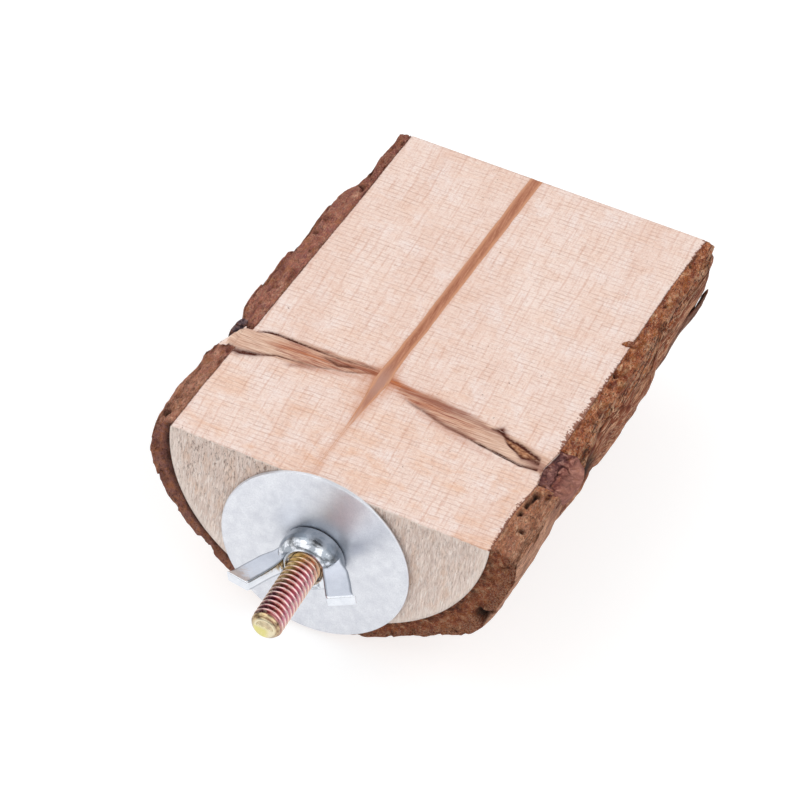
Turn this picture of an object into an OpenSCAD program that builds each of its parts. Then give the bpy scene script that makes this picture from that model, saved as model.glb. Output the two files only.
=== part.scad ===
// Clamp-on bird perch: half of a log with its bark on, sawn flat through the pith,
// held to a cage by a hanger bolt, two large thin washers and a wing nut.
// The origin is on the bolt's axis at the clamp plane, where the two washers meet.
// +Y runs from there into the wood, +Z is square to the deck, and the stud points to -Y.

/* [Log] */
// Length of the wood along the log, measured at its middle
log_length = 101.5; // [70:0.5:200]
// Half the width of the wood across the deck
wood_half_w = 32; // [26:0.5:45]
// Depth of the wood below the deck
wood_depth = 31.5; // [25:0.5:45]
// Height of the deck above the bolt's axis
deck_height = 16.3; // [12:0.1:20]
// Distance of the log's middle to the right of the bolt's axis
log_offset = 0.35; // [-3:0.05:3]
// Angle of the log to the bolt's axis, seen from above
log_skew = 2.6; // [-5:0.1:5]
// Angle of the saw cut at the rear end
rear_cut = 1.5; // [-4:0.1:4]

/* [Bark] */
// Thickness of the bark at its thickest, on the right
bark_t = 6.5; // [4:0.1:9]
// Gap between the wood and the bark round it
bark_gap = 0.15; // [0.05:0.05:0.4]
// Height of the long ridges on the bark
ridge_height = 0.45; // [0.1:0.05:1]
// Length over which a ridge wanders from side to side
ridge_wander = 47; // [25:1:90]
// Depth by which the bark's sawn top slopes away from the deck
bark_droop = 0.9; // [0.2:0.1:2]
// Width of the crack that rings the log at the branches
crack_w = 0.5; // [0.2:0.1:1.5]

/* [Branches] */
// Distance of the branches from the front end of the wood
whorl_y = 32.6; // [20:0.5:50]
// Radius of the right branch where it leaves the wood
knot_right_r = 3.1; // [2:0.1:5]
// Radius of the left branch where it leaves the wood
knot_left_r = 3.3; // [2:0.1:5]
// Distance by which the right branch leans to the front at the bark
knot_right_lean = 6; // [2:0.5:9]
// Distance by which the left branch leans to the front at the bark
knot_left_lean = 3.9; // [1:0.5:9]
// Gap round each branch in its pocket
knot_gap = 0.15; // [0.05:0.05:0.3]
// Radius of the pith
pith_r = 1.05; // [0.6:0.05:2]
// Gap round the pith in its groove
pith_gap = 0.08; // [0.02:0.02:0.2]
// Place of the pith at the front end, to the left of the bolt's axis
pith_front_x = 4.4; // [1:0.1:8]
// Place of the pith at the branches, to the left of the bolt's axis
pith_whorl_x = 3.2; // [1:0.1:8]
// Place of the pith at the rear end, to the right of the bolt's axis
pith_rear_x = 0.3; // [0:0.1:4]

/* [Bolt] */
// Radius of the machine thread over its crests
stud_r = 3.175; // [2.5:0.005:4]
// Lead of the machine thread
thread_pitch = 1.27; // [0.8:0.01:1.5]
// Length of the stud that stands out of the wood
stud_proud = 23.45; // [18:0.05:40]
// Chamfer at the stud's tip
stud_chamfer = 0.9; // [0.4:0.1:1.4]
// Length of the plain shank in the wood
shank_length = 3; // [1:0.5:8]
// Radius of the wood screw over its crests
lag_r = 2.75; // [2:0.05:3.1]
// Length of the straight part of the wood screw
lag_length = 18.5; // [12:0.5:40]
// Length of the wood screw's point
lag_point = 6; // [3:0.5:9]
// Gap round the bolt in the wood
lag_gap = 0.05; // [0.02:0.01:0.15]

/* [Washers] */
// Radius of each washer
washer_r = 19.05; // [14:0.05:22]
// Thickness of each washer
washer_t = 0.5; // [0.3:0.05:2]
// Radius of the hole in each washer
washer_hole_r = 4.1; // [3.9:0.05:5]
// Distance that the outer washer hangs below the bolt's axis
outer_drop = 0.4; // [0:0.05:0.6]
// Distance that the inner washer sits to the left of the bolt's axis
inner_side = 0.25; // [0:0.05:0.4]
// Distance that the inner washer hangs below the bolt's axis
inner_drop = 0.65; // [0:0.05:0.7]

/* [Wing nut] */
// Radius of the nut's round body
hub_r = 6.35; // [5.5:0.05:8]
// Height of the nut's round body
hub_h = 4.9; // [4:0.1:7]
// Radius of the flat round the thread on the nut's front
hub_face_r = 3.9; // [3.7:0.05:5]
// Distance from the nut's axis to a wing's outer corner
wing_reach = 13.3; // [10:0.1:16]
// Height of a wing's inner corner above the washer
wing_height = 12.5; // [9:0.1:16]
// Thickness of a wing at its tip
wing_t = 2.2; // [1.5:0.1:3]
// Thickness of a wing at the nut's body
wing_root_t = 3.6; // [2:0.1:5]
// Angle of the wings from level
wing_angle = 15; // [-90:1:90]
// Gap between the nut's thread and the stud
nut_gap = 0.05; // [0.02:0.01:0.1]

/* [Bark flake] */
// Length of the loose strip of bark at the right rear
flake_length = 28; // [20:1:32]
// Height of the loose strip
flake_height = 6; // [3:0.5:9]
// Thickness of the loose strip
flake_t = 0.9; // [0.5:0.1:1.5]
// Distance by which the strip's rear end stands off the bark
flake_lift = 1.2; // [0.3:0.1:3]
// Gap between the strip and the bark where it lies on it
flake_gap = 0.25; // [0.1:0.05:0.3]

/* [Hidden] */

// Length that a cut runs past the face that it opens
overrun = 2;
// The wood's front end lies behind the inner washer
wood_face = washer_t;
log_end = wood_face + log_length;
nut_base = -washer_t;

// Steps round the bark and along each of its two lengths
bark_steps = 48;
front_rings = 8;
rear_rings = 24;
// Share by which the steps round the bark crowd towards the deck's edges
crowd_share = 0.6;

// Bark thickness round the log, from the right edge of the deck at 0 to the left edge at 180
round_shares = [[0, 0.82], [8, 0.92], [20, 0.91], [30, 0.97], [36, 0.95], [40, 0.82], [44, 0.66],
  [48, 0.6], [53, 0.49], [60, 0.45], [66, 0.48], [73, 0.57], [90, 0.63], [110, 0.54], [129, 0.34],
  [135, 0.42], [145, 0.48], [154, 0.57], [161, 0.63], [167, 0.65], [173, 0.53], [180, 0.45]];
// Bark thickness along the log's right side and its left side, front to rear
right_shares = [[0, 1], [0.03, 1.06], [0.12, 1.06], [0.16, 0.95], [0.2, 0.93], [0.25, 0.98], [0.31, 0.95],
  [0.35, 1], [0.385, 0.97], [0.42, 0.88], [0.46, 0.9], [0.5, 0.97], [0.58, 1], [0.62, 0.97], [0.66, 0.86],
  [0.69, 0.72], [0.9, 0.7], [0.94, 0.62], [0.97, 0.5], [1, 0.35]];
left_shares = [[0, 1], [0.03, 1.2], [0.07, 1.28], [0.105, 1.38], [0.145, 1.31], [0.19, 1.28],
  [0.225, 1.4], [0.265, 1.24], [0.3, 1.05], [0.33, 1.05], [0.36, 1.31], [0.385, 1.66], [0.42, 1.71],
  [0.46, 1.62], [0.5, 1.66], [0.55, 1.6], [0.59, 1.36], [0.64, 1.34], [0.68, 1.52], [0.72, 1.53],
  [0.76, 1.6], [0.785, 1.3], [0.82, 0.9], [0.865, 0.71], [0.91, 0.76], [1, 0.68]];

// Number of ridges round the log, and how far each wanders, in degrees of its own wave
ridge_count = 11;
wander_angle = 130;
// Height of the finer second set of ridges as a share of the first
fine_share = 0.45;

// The pith is thinner in front of the branches
pith_front_share = 0.8;

// Radius along a branch, from the pith to the wood's edge, as shares of its length and radius
knot_shares = [[0, 0.2], [0.25, 0.68], [0.6, 1], [1, 1]];
// The stub in the bark: its radius as a share of the branch's, and its dome beyond the bark
stub_share = 1.42;
stub_dome = 0.7;
// Distance between the pith and the thin end of a branch
knot_start = pith_r + knot_gap + 3 * pith_gap;

// A wing's outline, as shares of its reach and height: the outer edge up, then the inner edge down
wing_shares = [[0.34, 0], [0.5, 0.06], [0.6, 0.2], [0.7, 0.33], [0.81, 0.56], [0.9, 0.78], [1, 0.83],
  [0.985, 0.9], [0.63, 1], [0.56, 0.93], [0.42, 0.62], [0.34, 0.45]];
// Height at which the hub starts to round over, as a share of its height
hub_wall_share = 0.38;

// Depth of the flake's middle below the deck, and its front end, as shares
flake_depth_share = 0.26;
flake_start_share = 0.69;
flake_rings = 14;
flake_steps = 4;
flake_width_shares = [[0, 0.35], [0.2, 0.8], [0.55, 1], [0.85, 0.75], [1, 0.3]];

// Middle of the log at a distance along the bolt's axis
function log_x(y) = log_offset + (y - wood_face) * tan(log_skew);
// Rear end of the wood at a place across it
function end_y(x) = log_end + (x - log_x(log_end)) * tan(rear_cut);
// Half ellipse of the wood's section, and the direction square to it
function wood_at(phi) = [wood_half_w * cos(phi), deck_height - wood_depth * sin(phi)];
function out_of(phi) = let(n = [cos(phi) / wood_half_w, -sin(phi) / wood_depth]) n / norm(n);
// Place on the log: angle round it, share of its length and distance out of the wood
function log_point(phi, share, out, drop) =
  let(p = wood_at(phi) + out * out_of(phi),
      x = p[0] + log_x(wood_face + share * log_length))
  [x, wood_face + share * (end_y(x) - wood_face), p[1] - drop];
// Angle of step k round the bark, with the steps closer together near the deck
function step_angle(k) = 180 * (k / bark_steps - crowd_share * sin(360 * k / bark_steps) / (2 * PI));
// Long ridges that wander and fade in and out along the log
function ridges(phi, share) =
  let(y = share * log_length,
      swing = wander_angle * sin(360 * y / ridge_wander),
      fade = 0.6 + 0.4 * sin(470 * y / ridge_wander + 2 * phi))
  ridge_height * (sin(ridge_count * 2 * phi + swing) * fade
    + fine_share * sin(ridge_count * 5 * phi - 2 * swing + 90) * (1 - fade / 2));
function bark_out(phi, share) =
  bark_t * lookup(phi, round_shares)
  * (lookup(share, right_shares) * (180 - phi) + lookup(share, left_shares) * phi) / 180
  + ridges(phi, share) * min(1, lookup(share, left_shares) + cos(phi / 2));
// How far the sloping top of the bark has dropped at its outer edge
function droop_at(phi) = bark_droop * pow(abs(cos(phi)), 24);

// Middle of the crack that rings the log, from the right branch round to the left one
right_stub_y = whorl_y - knot_right_lean;
left_stub_y = whorl_y - knot_left_lean;
function crack_y(phi) = right_stub_y + (left_stub_y - right_stub_y) * phi / 180;
// Half width of the opening that the crack leaves for a branch's stub
function stub_room(phi, r) =
  let(depth = wood_depth * sin(phi), room = stub_share * r + 2 * (knot_gap + bark_gap))
  sqrt(max(0, room * room - depth * depth));
function half_crack(phi) =
  crack_w / 2 + (phi < 90 ? stub_room(phi, knot_right_r) : stub_room(phi, knot_left_r));
function crack_share(phi, side) = (crack_y(phi) + side * half_crack(phi)) / log_length;

// Closed shell between the wood and the bark's outside, from share a(k) to share b(k) of the length
module bark_shell(rings, starts, ends) {
  m = 2 * (bark_steps + 1);
  points = [for (i = [0 : rings], j = [0 : m - 1])
    let(outer = j <= bark_steps,
        k = outer ? j : m - 1 - j,
        phi = step_angle(k),
        share = starts[k] + (ends[k] - starts[k]) * i / rings)
    outer ? log_point(phi, share, bark_out(phi, share), droop_at(phi)) : log_point(phi, share, bark_gap, 0)];
  sides = [for (i = [0 : rings - 1], j = [0 : m - 1])
    let(a = i * m + j, b = i * m + (j + 1) % m, c = a + m, d = b + m)
    each [[a, b, d], [a, d, c]]];
  caps = [for (e = [0, rings], k = [0 : bark_steps - 1])
    let(a = e * m + k, b = a + 1, c = e * m + m - 2 - k, d = c + 1)
    each (e == 0 ? [[a, d, c], [a, c, b]] : [[a, c, d], [a, b, c]])];
  polyhedron(points = points, faces = concat(sides, caps), convexity = 6);
}

// Everything above the deck, in front of the wood and behind it, to trim what runs past
module above_deck() {
  translate([-3 * wood_half_w, -log_length, deck_height])
    cube([6 * wood_half_w, 3 * log_length, wood_depth]);
}
module outside_ends() {
  translate([-3 * wood_half_w, wood_face - log_length, -2 * wood_depth])
    cube([6 * wood_half_w, log_length, 4 * wood_depth]);
  translate([log_x(log_end), log_end, 0])
    rotate([0, 0, rear_cut])
      translate([-3 * wood_half_w, 0, -2 * wood_depth])
        cube([6 * wood_half_w, log_length, 4 * wood_depth]);
}

// One branch: a body of revolution that lies in the deck's plane and points to the bark
module branch(from, to, r, bark, grow) {
  run = to - from;
  length = norm(run);
  top = length + bark + stub_dome;
  profile = concat([[0, -grow]],
    [for (s = knot_shares) [s[1] * r + grow, s[0] * length - (s[0] == 0 ? grow : 0)]],
    [[stub_share * r + grow, length + bark / 3], [stub_share * r + grow, length + bark],
     [stub_share * r * 0.6 + grow, top - stub_dome / 4 + grow], [0, top + grow]]);
  translate([from[0], from[1], deck_height])
    rotate([0, 90, atan2(run[1], run[0])])
      rotate_extrude($fn = 48)
        polygon(profile);
}
module right_branch(grow) {
  start = [knot_start - pith_whorl_x, wood_face + whorl_y];
  edge = [wood_half_w + log_x(right_stub_y), wood_face + right_stub_y];
  share = right_stub_y / log_length;
  branch(start, edge, knot_right_r, bark_t * lookup(10, round_shares) * lookup(share, right_shares), grow);
}
module left_branch(grow) {
  start = [-knot_start - pith_whorl_x, wood_face + whorl_y];
  edge = [log_x(left_stub_y) - wood_half_w, wood_face + left_stub_y];
  share = left_stub_y / log_length;
  branch(start, edge, knot_left_r, bark_t * lookup(180, round_shares) * lookup(share, left_shares), grow);
}

// The pith as two straight lengths that meet at the branches, grown for its groove
module pith_rod(from, to, r) {
  run = to - from;
  translate([from[0], from[1], deck_height])
    rotate([-90, 0, atan2(run[1], run[0]) - 90])
      translate([0, 0, -overrun])
        rotate([0, 0, 90])
          cylinder(r = r, h = norm(run) + 2 * overrun, $fn = 40);
}
module pith_core(grow) {
  whorl = [-pith_whorl_x, wood_face + whorl_y];
  pith_rod([-pith_front_x, wood_face], whorl, pith_front_share * pith_r + grow);
  pith_rod(whorl, [pith_rear_x, log_end], pith_r + grow);
}

// The bolt's outline, as radius and distance along its axis, with a gap for its hole
module bolt_solid(grow) {
  tip = wood_face - stud_proud;
  shank_end = wood_face + shank_length;
  lag_end = shank_end + lag_length;
  rotate([-90, 0, 0])
    rotate_extrude($fn = 64)
      polygon([[0, tip], [stud_r - stud_chamfer + grow, tip], [stud_r + grow, tip + stud_chamfer],
        [stud_r + grow, shank_end + grow], [lag_r + grow, shank_end + grow + (stud_r - lag_r)],
        [lag_r + grow, lag_end], [lag_r / 3 + grow, lag_end + lag_point], [0, lag_end + lag_point + grow]]);
}

module wood_block() {
  color("#EBCFB6")
  difference() {
    translate([log_offset, wood_face, 0])
      rotate([0, 0, -log_skew])
        translate([0, log_length + 2 * overrun, 0])
          rotate([90, 0, 0])
            linear_extrude(height = log_length + 4 * overrun)
              polygon([for (k = [0 : bark_steps]) wood_at(step_angle(k))]);
    outside_ends();
    pith_core(pith_gap);
    right_branch(knot_gap);
    left_branch(knot_gap);
    bolt_solid(lag_gap);
  }
}

module pith() {
  color("#B9835A")
  difference() {
    pith_core(0);
    outside_ends();
    above_deck();
  }
}

module knot_left() {
  color("#6E4B3A")
  difference() {
    left_branch(0);
    above_deck();
  }
}

module knot_right() {
  color("#6E4A48")
  difference() {
    right_branch(0);
    above_deck();
  }
}

module bark_front() {
  color("#7A4A32")
  bark_shell(front_rings,
    [for (k = [0 : bark_steps]) 0],
    [for (k = [0 : bark_steps]) crack_share(step_angle(k), -1)]);
}

module bark_rear() {
  color("#6F432E")
  bark_shell(rear_rings,
    [for (k = [0 : bark_steps]) crack_share(step_angle(k), 1)],
    [for (k = [0 : bark_steps]) 1]);
}

// A thin strip that lies on the bark at its front end and peels away towards the rear
module bark_flake() {
  middle = asin(flake_depth_share);
  span = flake_length / log_length;
  ring = 2 * (flake_steps + 1);
  points = [for (i = [0 : flake_rings], j = [0 : ring - 1])
    let(u = i / flake_rings,
        share = flake_start_share + span * u,
        outer = j <= flake_steps,
        k = outer ? j : ring - 1 - j,
        spread = flake_height * lookup(u, flake_width_shares) / wood_depth * 180 / PI,
        phi = middle + spread * (k / flake_steps - 0.5),
        rise = flake_gap + flake_lift * pow(u, 3) + (outer ? flake_t : 0))
    log_point(phi, share, bark_out(phi, share) + rise, 0)];
  sides = [for (i = [0 : flake_rings - 1], j = [0 : ring - 1])
    let(a = i * ring + j, b = i * ring + (j + 1) % ring, c = a + ring, d = b + ring)
    each [[a, b, d], [a, d, c]]];
  caps = [for (e = [0, flake_rings], k = [0 : flake_steps - 1])
    let(a = e * ring + k, b = a + 1, c = e * ring + ring - 2 - k, d = c + 1)
    each (e == 0 ? [[a, d, c], [a, c, b]] : [[a, c, d], [a, b, c]])];
  color("#A0714F") polyhedron(points = points, faces = concat(sides, caps), convexity = 4);
}

module hanger_bolt() {
  color("#C9A25A") bolt_solid(0);
}

// A round disc with its hole round the bolt; the disc itself sits off the bolt's axis
module washer(side, drop) {
  rotate([90, 0, 0])
    translate([side, -drop, 0])
      difference() {
        cylinder(r = washer_r, h = washer_t, $fn = 128);
        translate([0, 0, -overrun]) cylinder(r = washer_hole_r, h = washer_t + 2 * overrun, $fn = 64);
      }
}

module inner_washer() {
  color("#C4C8D0") translate([0, wood_face, 0]) washer(-inner_side, inner_drop);
}

module outer_washer() {
  color("#D3D6DC") washer(0, outer_drop);
}

// Side outline of a wing, cut to a plan that tapers from the hub to the tip
module wing() {
  intersection() {
    rotate([90, 0, 0])
      linear_extrude(height = 2 * wing_root_t, center = true)
        polygon([for (s = wing_shares) [s[0] * wing_reach, s[1] * wing_height]]);
    linear_extrude(height = wing_height)
      polygon([[0, -wing_root_t / 2], [hub_r, -wing_root_t / 2], [wing_reach, -wing_t / 2],
        [wing_reach, wing_t / 2], [hub_r, wing_root_t / 2], [0, wing_root_t / 2]]);
  }
}

// A round body whose shoulder rolls over to the flat round the thread, with two wings
module wing_nut() {
  shoulder = hub_h * hub_wall_share;
  roll = [hub_r - hub_face_r, hub_h - shoulder];
  color("#C9CFD8")
  translate([0, nut_base, 0])
    rotate([90, -wing_angle, 0])
      difference() {
        union() {
          rotate_extrude($fn = 96)
            polygon(concat([[0, 0], [hub_r - washer_t / 2, 0], [hub_r, washer_t / 2]],
              [for (a = [0 : 15 : 90]) [hub_face_r + roll[0] * cos(a), shoulder + roll[1] * sin(a)]],
              [[0, hub_h]]));
          wing();
          mirror([1, 0, 0]) wing();
        }
        translate([0, 0, -overrun]) cylinder(r = stud_r + nut_gap, h = wing_height + 2 * overrun, $fn = 64);
      }
}

wood_block();
pith();
knot_left();
knot_right();
bark_front();
bark_rear();
bark_flake();
hanger_bolt();
inner_washer();
outer_washer();
wing_nut();
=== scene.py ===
import math
import bmesh
import bpy
import numpy as np
from mathutils import Matrix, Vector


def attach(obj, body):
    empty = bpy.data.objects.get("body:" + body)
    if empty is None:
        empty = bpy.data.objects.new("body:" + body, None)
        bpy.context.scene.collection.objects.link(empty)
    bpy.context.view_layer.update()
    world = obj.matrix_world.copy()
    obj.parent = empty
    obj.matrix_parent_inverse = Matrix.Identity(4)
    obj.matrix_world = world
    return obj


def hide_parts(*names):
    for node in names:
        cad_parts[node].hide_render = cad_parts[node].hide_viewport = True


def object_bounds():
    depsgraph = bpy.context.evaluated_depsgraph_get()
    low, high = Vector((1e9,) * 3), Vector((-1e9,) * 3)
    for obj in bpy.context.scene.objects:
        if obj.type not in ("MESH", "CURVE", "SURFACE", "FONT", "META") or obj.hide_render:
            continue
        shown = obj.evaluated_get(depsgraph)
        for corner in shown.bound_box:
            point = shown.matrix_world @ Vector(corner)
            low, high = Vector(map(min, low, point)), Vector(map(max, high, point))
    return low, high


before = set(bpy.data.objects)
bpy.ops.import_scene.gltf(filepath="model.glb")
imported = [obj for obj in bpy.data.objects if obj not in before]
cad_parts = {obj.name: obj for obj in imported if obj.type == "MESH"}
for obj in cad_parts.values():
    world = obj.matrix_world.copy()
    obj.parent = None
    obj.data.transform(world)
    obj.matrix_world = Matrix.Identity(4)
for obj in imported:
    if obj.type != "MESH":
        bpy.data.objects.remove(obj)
cadSize = [list(corner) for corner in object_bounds()]
mm = 0.001
print("frame loaded")


# Lattice noise between 0 and 1 at points (mm), cell = size of one cell along x, y and z
def noise(points, cell, seed=0):
    q = points / np.asarray(cell, float) + 37.0 * seed
    base = np.floor(q)
    f = q - base
    f = f * f * (3 - 2 * f)
    base = base.astype(np.int64)
    total = np.zeros(points.shape[:-1])
    for corner in range(8):
        step = np.array([corner & 1, corner >> 1 & 1, corner >> 2 & 1])
        i = base + step
        h = (i[..., 0] * 374761393 + i[..., 1] * 668265263 + i[..., 2] * 2147483647 + seed * 974711) & 0xFFFFFFFF
        h = ((h ^ (h >> 13)) * 1274126177) & 0xFFFFFFFF
        h = (h ^ (h >> 16)) & 0xFFFF
        w = np.prod(np.where(step, f, 1 - f), axis=-1)
        total += w * h / 65535.0
    return total


# Sum of noises, each half the size and half the height of the one before
def layered(points, cell, layers=3, seed=0, fade=0.5):
    cell = np.asarray(cell, float)
    heights = [fade ** k for k in range(layers)]
    return sum(h * noise(points, cell / 2 ** k, seed + 7 * k) for k, h in enumerate(heights)) / sum(heights)


def alongOnly(y, cell, seed, layers=1):
    return layered(np.stack([y, 0 * y, 0 * y], -1), (cell, 1, 1), layers, seed)


def smooth(low, high, v):
    t = np.clip((v - low) / (high - low), 0, 1)
    return t * t * (3 - 2 * t)


# A mesh from grids of points in mm. Each patch is (grid, flip, material index, attributes), and points at the same
# place are joined, which closes the seams
def gridPiece(name, patches, materials, body, node):
    points, quads, index, values, offset = [], [], [], {}, 0
    keys = sorted({k for patch in patches for k in patch[3]})
    for grid, flip, number, attributes in patches:
        nu, nv = grid.shape[:2]
        ids = offset + np.arange(nu * nv).reshape(nu, nv)
        q = np.stack([ids[:-1, :-1], ids[1:, :-1], ids[1:, 1:], ids[:-1, 1:]], -1).reshape(-1, 4)
        quads.append(q[:, ::-1] if flip else q)
        index.append(np.full(len(q), number))
        points.append(grid.reshape(-1, 3))
        for k in keys:
            values.setdefault(k, []).append(np.broadcast_to(attributes.get(k, 0.0), (nu, nv)).reshape(-1))
        offset += nu * nv
    points, quads, index = np.concatenate(points), np.concatenate(quads), np.concatenate(index)
    _, first, same = np.unique(np.round(points * 1e4).astype(np.int64), axis=0, return_index=True, return_inverse=True)
    quads = same.reshape(-1)[quads]
    keep = quads != np.roll(quads, -1, axis=1)
    count = keep.sum(1)
    good = count >= 3
    quads, keep, count, index = quads[good], keep[good], count[good], index[good]
    mesh = bpy.data.meshes.new(name)
    mesh.vertices.add(len(first))
    mesh.vertices.foreach_set("co", (points[first] * mm).astype(np.float32).ravel())
    mesh.loops.add(int(count.sum()))
    mesh.loops.foreach_set("vertex_index", quads[keep].astype(np.int32))
    mesh.polygons.add(len(count))
    mesh.polygons.foreach_set("loop_start", (np.cumsum(count) - count).astype(np.int32))
    mesh.polygons.foreach_set("material_index", index.astype(np.int32))
    mesh.polygons.foreach_set("use_smooth", np.ones(len(count), bool))
    for k in keys:
        attribute = mesh.attributes.new(k, "FLOAT", "POINT")
        attribute.data.foreach_set("value", np.concatenate(values[k])[first].astype(np.float32))
    mesh.update(calc_edges=True)
    shell = bmesh.new()
    shell.from_mesh(mesh)
    bmesh.ops.recalc_face_normals(shell, faces=shell.faces)
    shell.to_mesh(mesh)
    shell.free()
    for finished in materials:
        mesh.materials.append(finished)
    piece = bpy.data.objects.new(name, mesh)
    bpy.context.scene.collection.objects.link(piece)
    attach(piece, body)
    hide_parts(node)
    print(name, len(first), "points", int((count - 2).sum()), "triangles")
    return mesh


# Closes both ends of a tube with their middle points
def capped(grid):
    ends = [grid[:, k:k + 1].mean(0, keepdims=True) + 0 * grid[:, :1] for k in (0, grid.shape[1] - 1)]
    return np.concatenate([ends[0], grid, ends[1]], 1)


# sRGB hex to the linear colour that sockets take
def colour(text):
    c = np.array([int(text[k:k + 2], 16) for k in (1, 3, 5)]) / 255
    return (*np.where(c <= 0.04045, c / 12.92, ((c + 0.055) / 1.055) ** 2.4).tolist(), 1.0)


# The node tree that is being made and its coordinates in mm
making = {}


# Adds a node and gives one of its outputs. Inputs by number or name take a value, a hex colour or another node's
# output, stops are a ramp's colours or levels, and settings are the node's own choices
def add(kind, inputs=(), stops=(), out=0, **settings):
    tree = making["tree"]
    node = tree.nodes.new("ShaderNode" + kind)
    for k, v in settings.items():
        setattr(node, k, v)
    for k, v in inputs.items() if isinstance(inputs, dict) else enumerate(inputs):
        if isinstance(v, bpy.types.NodeSocket):
            tree.links.new(v, node.inputs[k])
        else:
            node.inputs[k].default_value = colour(v) if isinstance(v, str) else v
    if stops:
        ramp = node.color_ramp.elements
        while len(ramp) < len(stops):
            ramp.new(0.5)
        for element, (place, tint) in zip(ramp, stops):
            element.position = place
            element.color = colour(tint) if isinstance(tint, str) else (tint, tint, tint, 1)
    return node.outputs[out] if len(node.outputs) else None


# A material to fill with nodes, its coordinates in mm and turned about z by angle, and the outputs it reads:
# X, Y or Z of the place, or marks that its meshes carry
def material(name, angle=0.0, reads=()):
    made = bpy.data.materials.new(name)
    made.use_nodes = True
    making["tree"] = made.node_tree
    made.node_tree.nodes.clear()
    making["place"] = add("Mapping", {"Vector": add("TexCoord", out="Object"), "Scale": (1000, 1000, 1000),
                                      "Rotation": (0, 0, angle)})
    return made, {k: add("SeparateXYZ", [making["place"]], out=k) if k in "XYZ"
                  else add("Attribute", out="Fac", attribute_name=k) for k in reads}


# Noise stretched to cells of the given size in mm, as a value spread over 0 to 1 between low and high
def streaks(cell, low=0.35, high=0.65, detail=3.0, rough=0.55, warp=0.0):
    shrunk = add("Mapping", {"Vector": making["place"], "Scale": tuple(1 / c for c in cell)})
    pattern = add("TexNoise", {"Vector": shrunk, "Scale": 1.0, "Detail": detail, "Roughness": rough,
                               "Distortion": warp})
    return add("MapRange", (pattern, low, high))


# Wavering parallel lines with the given period in mm across one axis
def bands(axis, period, waver, low, high):
    wave = add("TexWave", {"Vector": making["place"], "Scale": 0.31416 / period, "Distortion": waver, "Detail": 2.0,
                           "Detail Scale": 0.35}, out="Fac", wave_type="BANDS", bands_direction=axis)
    return add("MapRange", (wave, low, high))


# Lays a share of a colour over the base where all the given patterns are strong
def tinted(base, tint, share, *patterns):
    amount = patterns[0]
    for factor in (*patterns[1:], share):
        amount = add("Math", (amount, factor), operation="MULTIPLY")
    return add("MixRGB", (amount, base, tint))


# Ends a material: bumps are (height, strength, distance in mm), more goes to the shader's own inputs
def finish(base, rough, bumps=(), metal=0.0, **more):
    for height, strength, distance in bumps:
        lifted = {"Height": height, "Strength": strength, "Distance": distance * mm}
        if "Normal" in more:
            lifted["Normal"] = more["Normal"]
        more["Normal"] = add("Bump", lifted)
    shader = add("BsdfPrincipled", {"Base Color": base, "Roughness": rough, "Metallic": metal, **more})
    add("OutputMaterial", {"Surface": shader})


# The log, in mm from the bolt's axis; y runs from the wood's front face. Its rear end is skew, and length is where
# that cut crosses rearX
log = {
    "face": 0.5, "deck": 16.28, "depth": 31.4, "length": 102.3, "rearCut": math.tan(math.radians(1.5)), "rearX": 5.1,
    "leftY": [0, 13, 24, 33, 53, 78, 101], "leftX": [-31.8, -31.4, -30.8, -29.8, -28.9, -27.7, -26.9],
    "rightY": [0, 11, 20.5, 25.5, 31, 46, 68, 85, 103],
    "rightX": [32.5, 32.6, 33.6, 32.9, 33.9, 34.4, 34.9, 35.4, 36.6],
    "roundPhi": [0, 8, 20, 30, 36, 40, 44, 48, 53, 60, 66, 73, 90, 110, 129, 135, 145, 154, 161, 167, 173, 180],
    "roundT": [5.3, 6.0, 6.0, 6.6, 6.5, 5.6, 4.7, 4.4, 3.7, 3.4, 3.5, 3.9, 4.1, 3.7, 2.6, 3.1, 3.5,
               3.8, 4.3, 4.4, 3.6, 2.9],
    "rightTY": [0, 3, 12, 16, 20, 25, 31, 35, 39, 43, 47, 51, 59, 63, 67, 70, 91, 95, 98, 101],
    "rightT": [1, 1.06, 1.06, 0.95, 0.9, 0.88, 0.88, 0.92, 0.82, 0.67, 0.7, 0.89, 0.97, 0.97,
               0.88, 0.74, 0.74, 0.68, 0.56, 0.38],
    "leftTY": [0, 3, 7, 11, 15, 19, 23, 27, 30, 33, 36, 39, 43, 47, 51, 56, 60, 65, 69, 73, 77, 80, 83, 88, 92, 101],
    "leftT": [1, 1.2, 1.28, 1.38, 1.31, 1.28, 1.38, 1.1, 0.9, 0.9, 1.1, 1.5, 1.68, 1.62, 1.66, 1.6, 1.36, 1.34, 1.52,
              1.53, 1.6, 1.3, 0.9, 0.71, 0.76, 0.68],
}


def edges(y):
    return np.interp(y, log["leftY"], log["leftX"]), np.interp(y, log["rightY"], log["rightX"])


# Point of the half ellipse at angle phi (radians, 0 at the right edge), moved out along its normal. Its place along
# the log is found in two steps, because the sides lean and the rear end is skew
def woodPoint(phi, share, out=0.0, drop=0.0):
    y = share * log["length"]
    for _ in range(2):
        left, right = edges(y)
        x = (left + right) / 2 + (right - left) / 2 * np.cos(phi)
        y = share * (log["length"] + (x - log["rearX"]) * log["rearCut"])
    half = (right - left) / 2
    nx, nz = np.cos(phi) / half, -np.sin(phi) / log["depth"]
    size = np.hypot(nx, nz)
    z = log["deck"] - log["depth"] * np.sin(phi) + out * nz / size - drop
    return np.stack([x + out * nx / size, y + log["face"] + 0 * out, z], -1)


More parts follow.
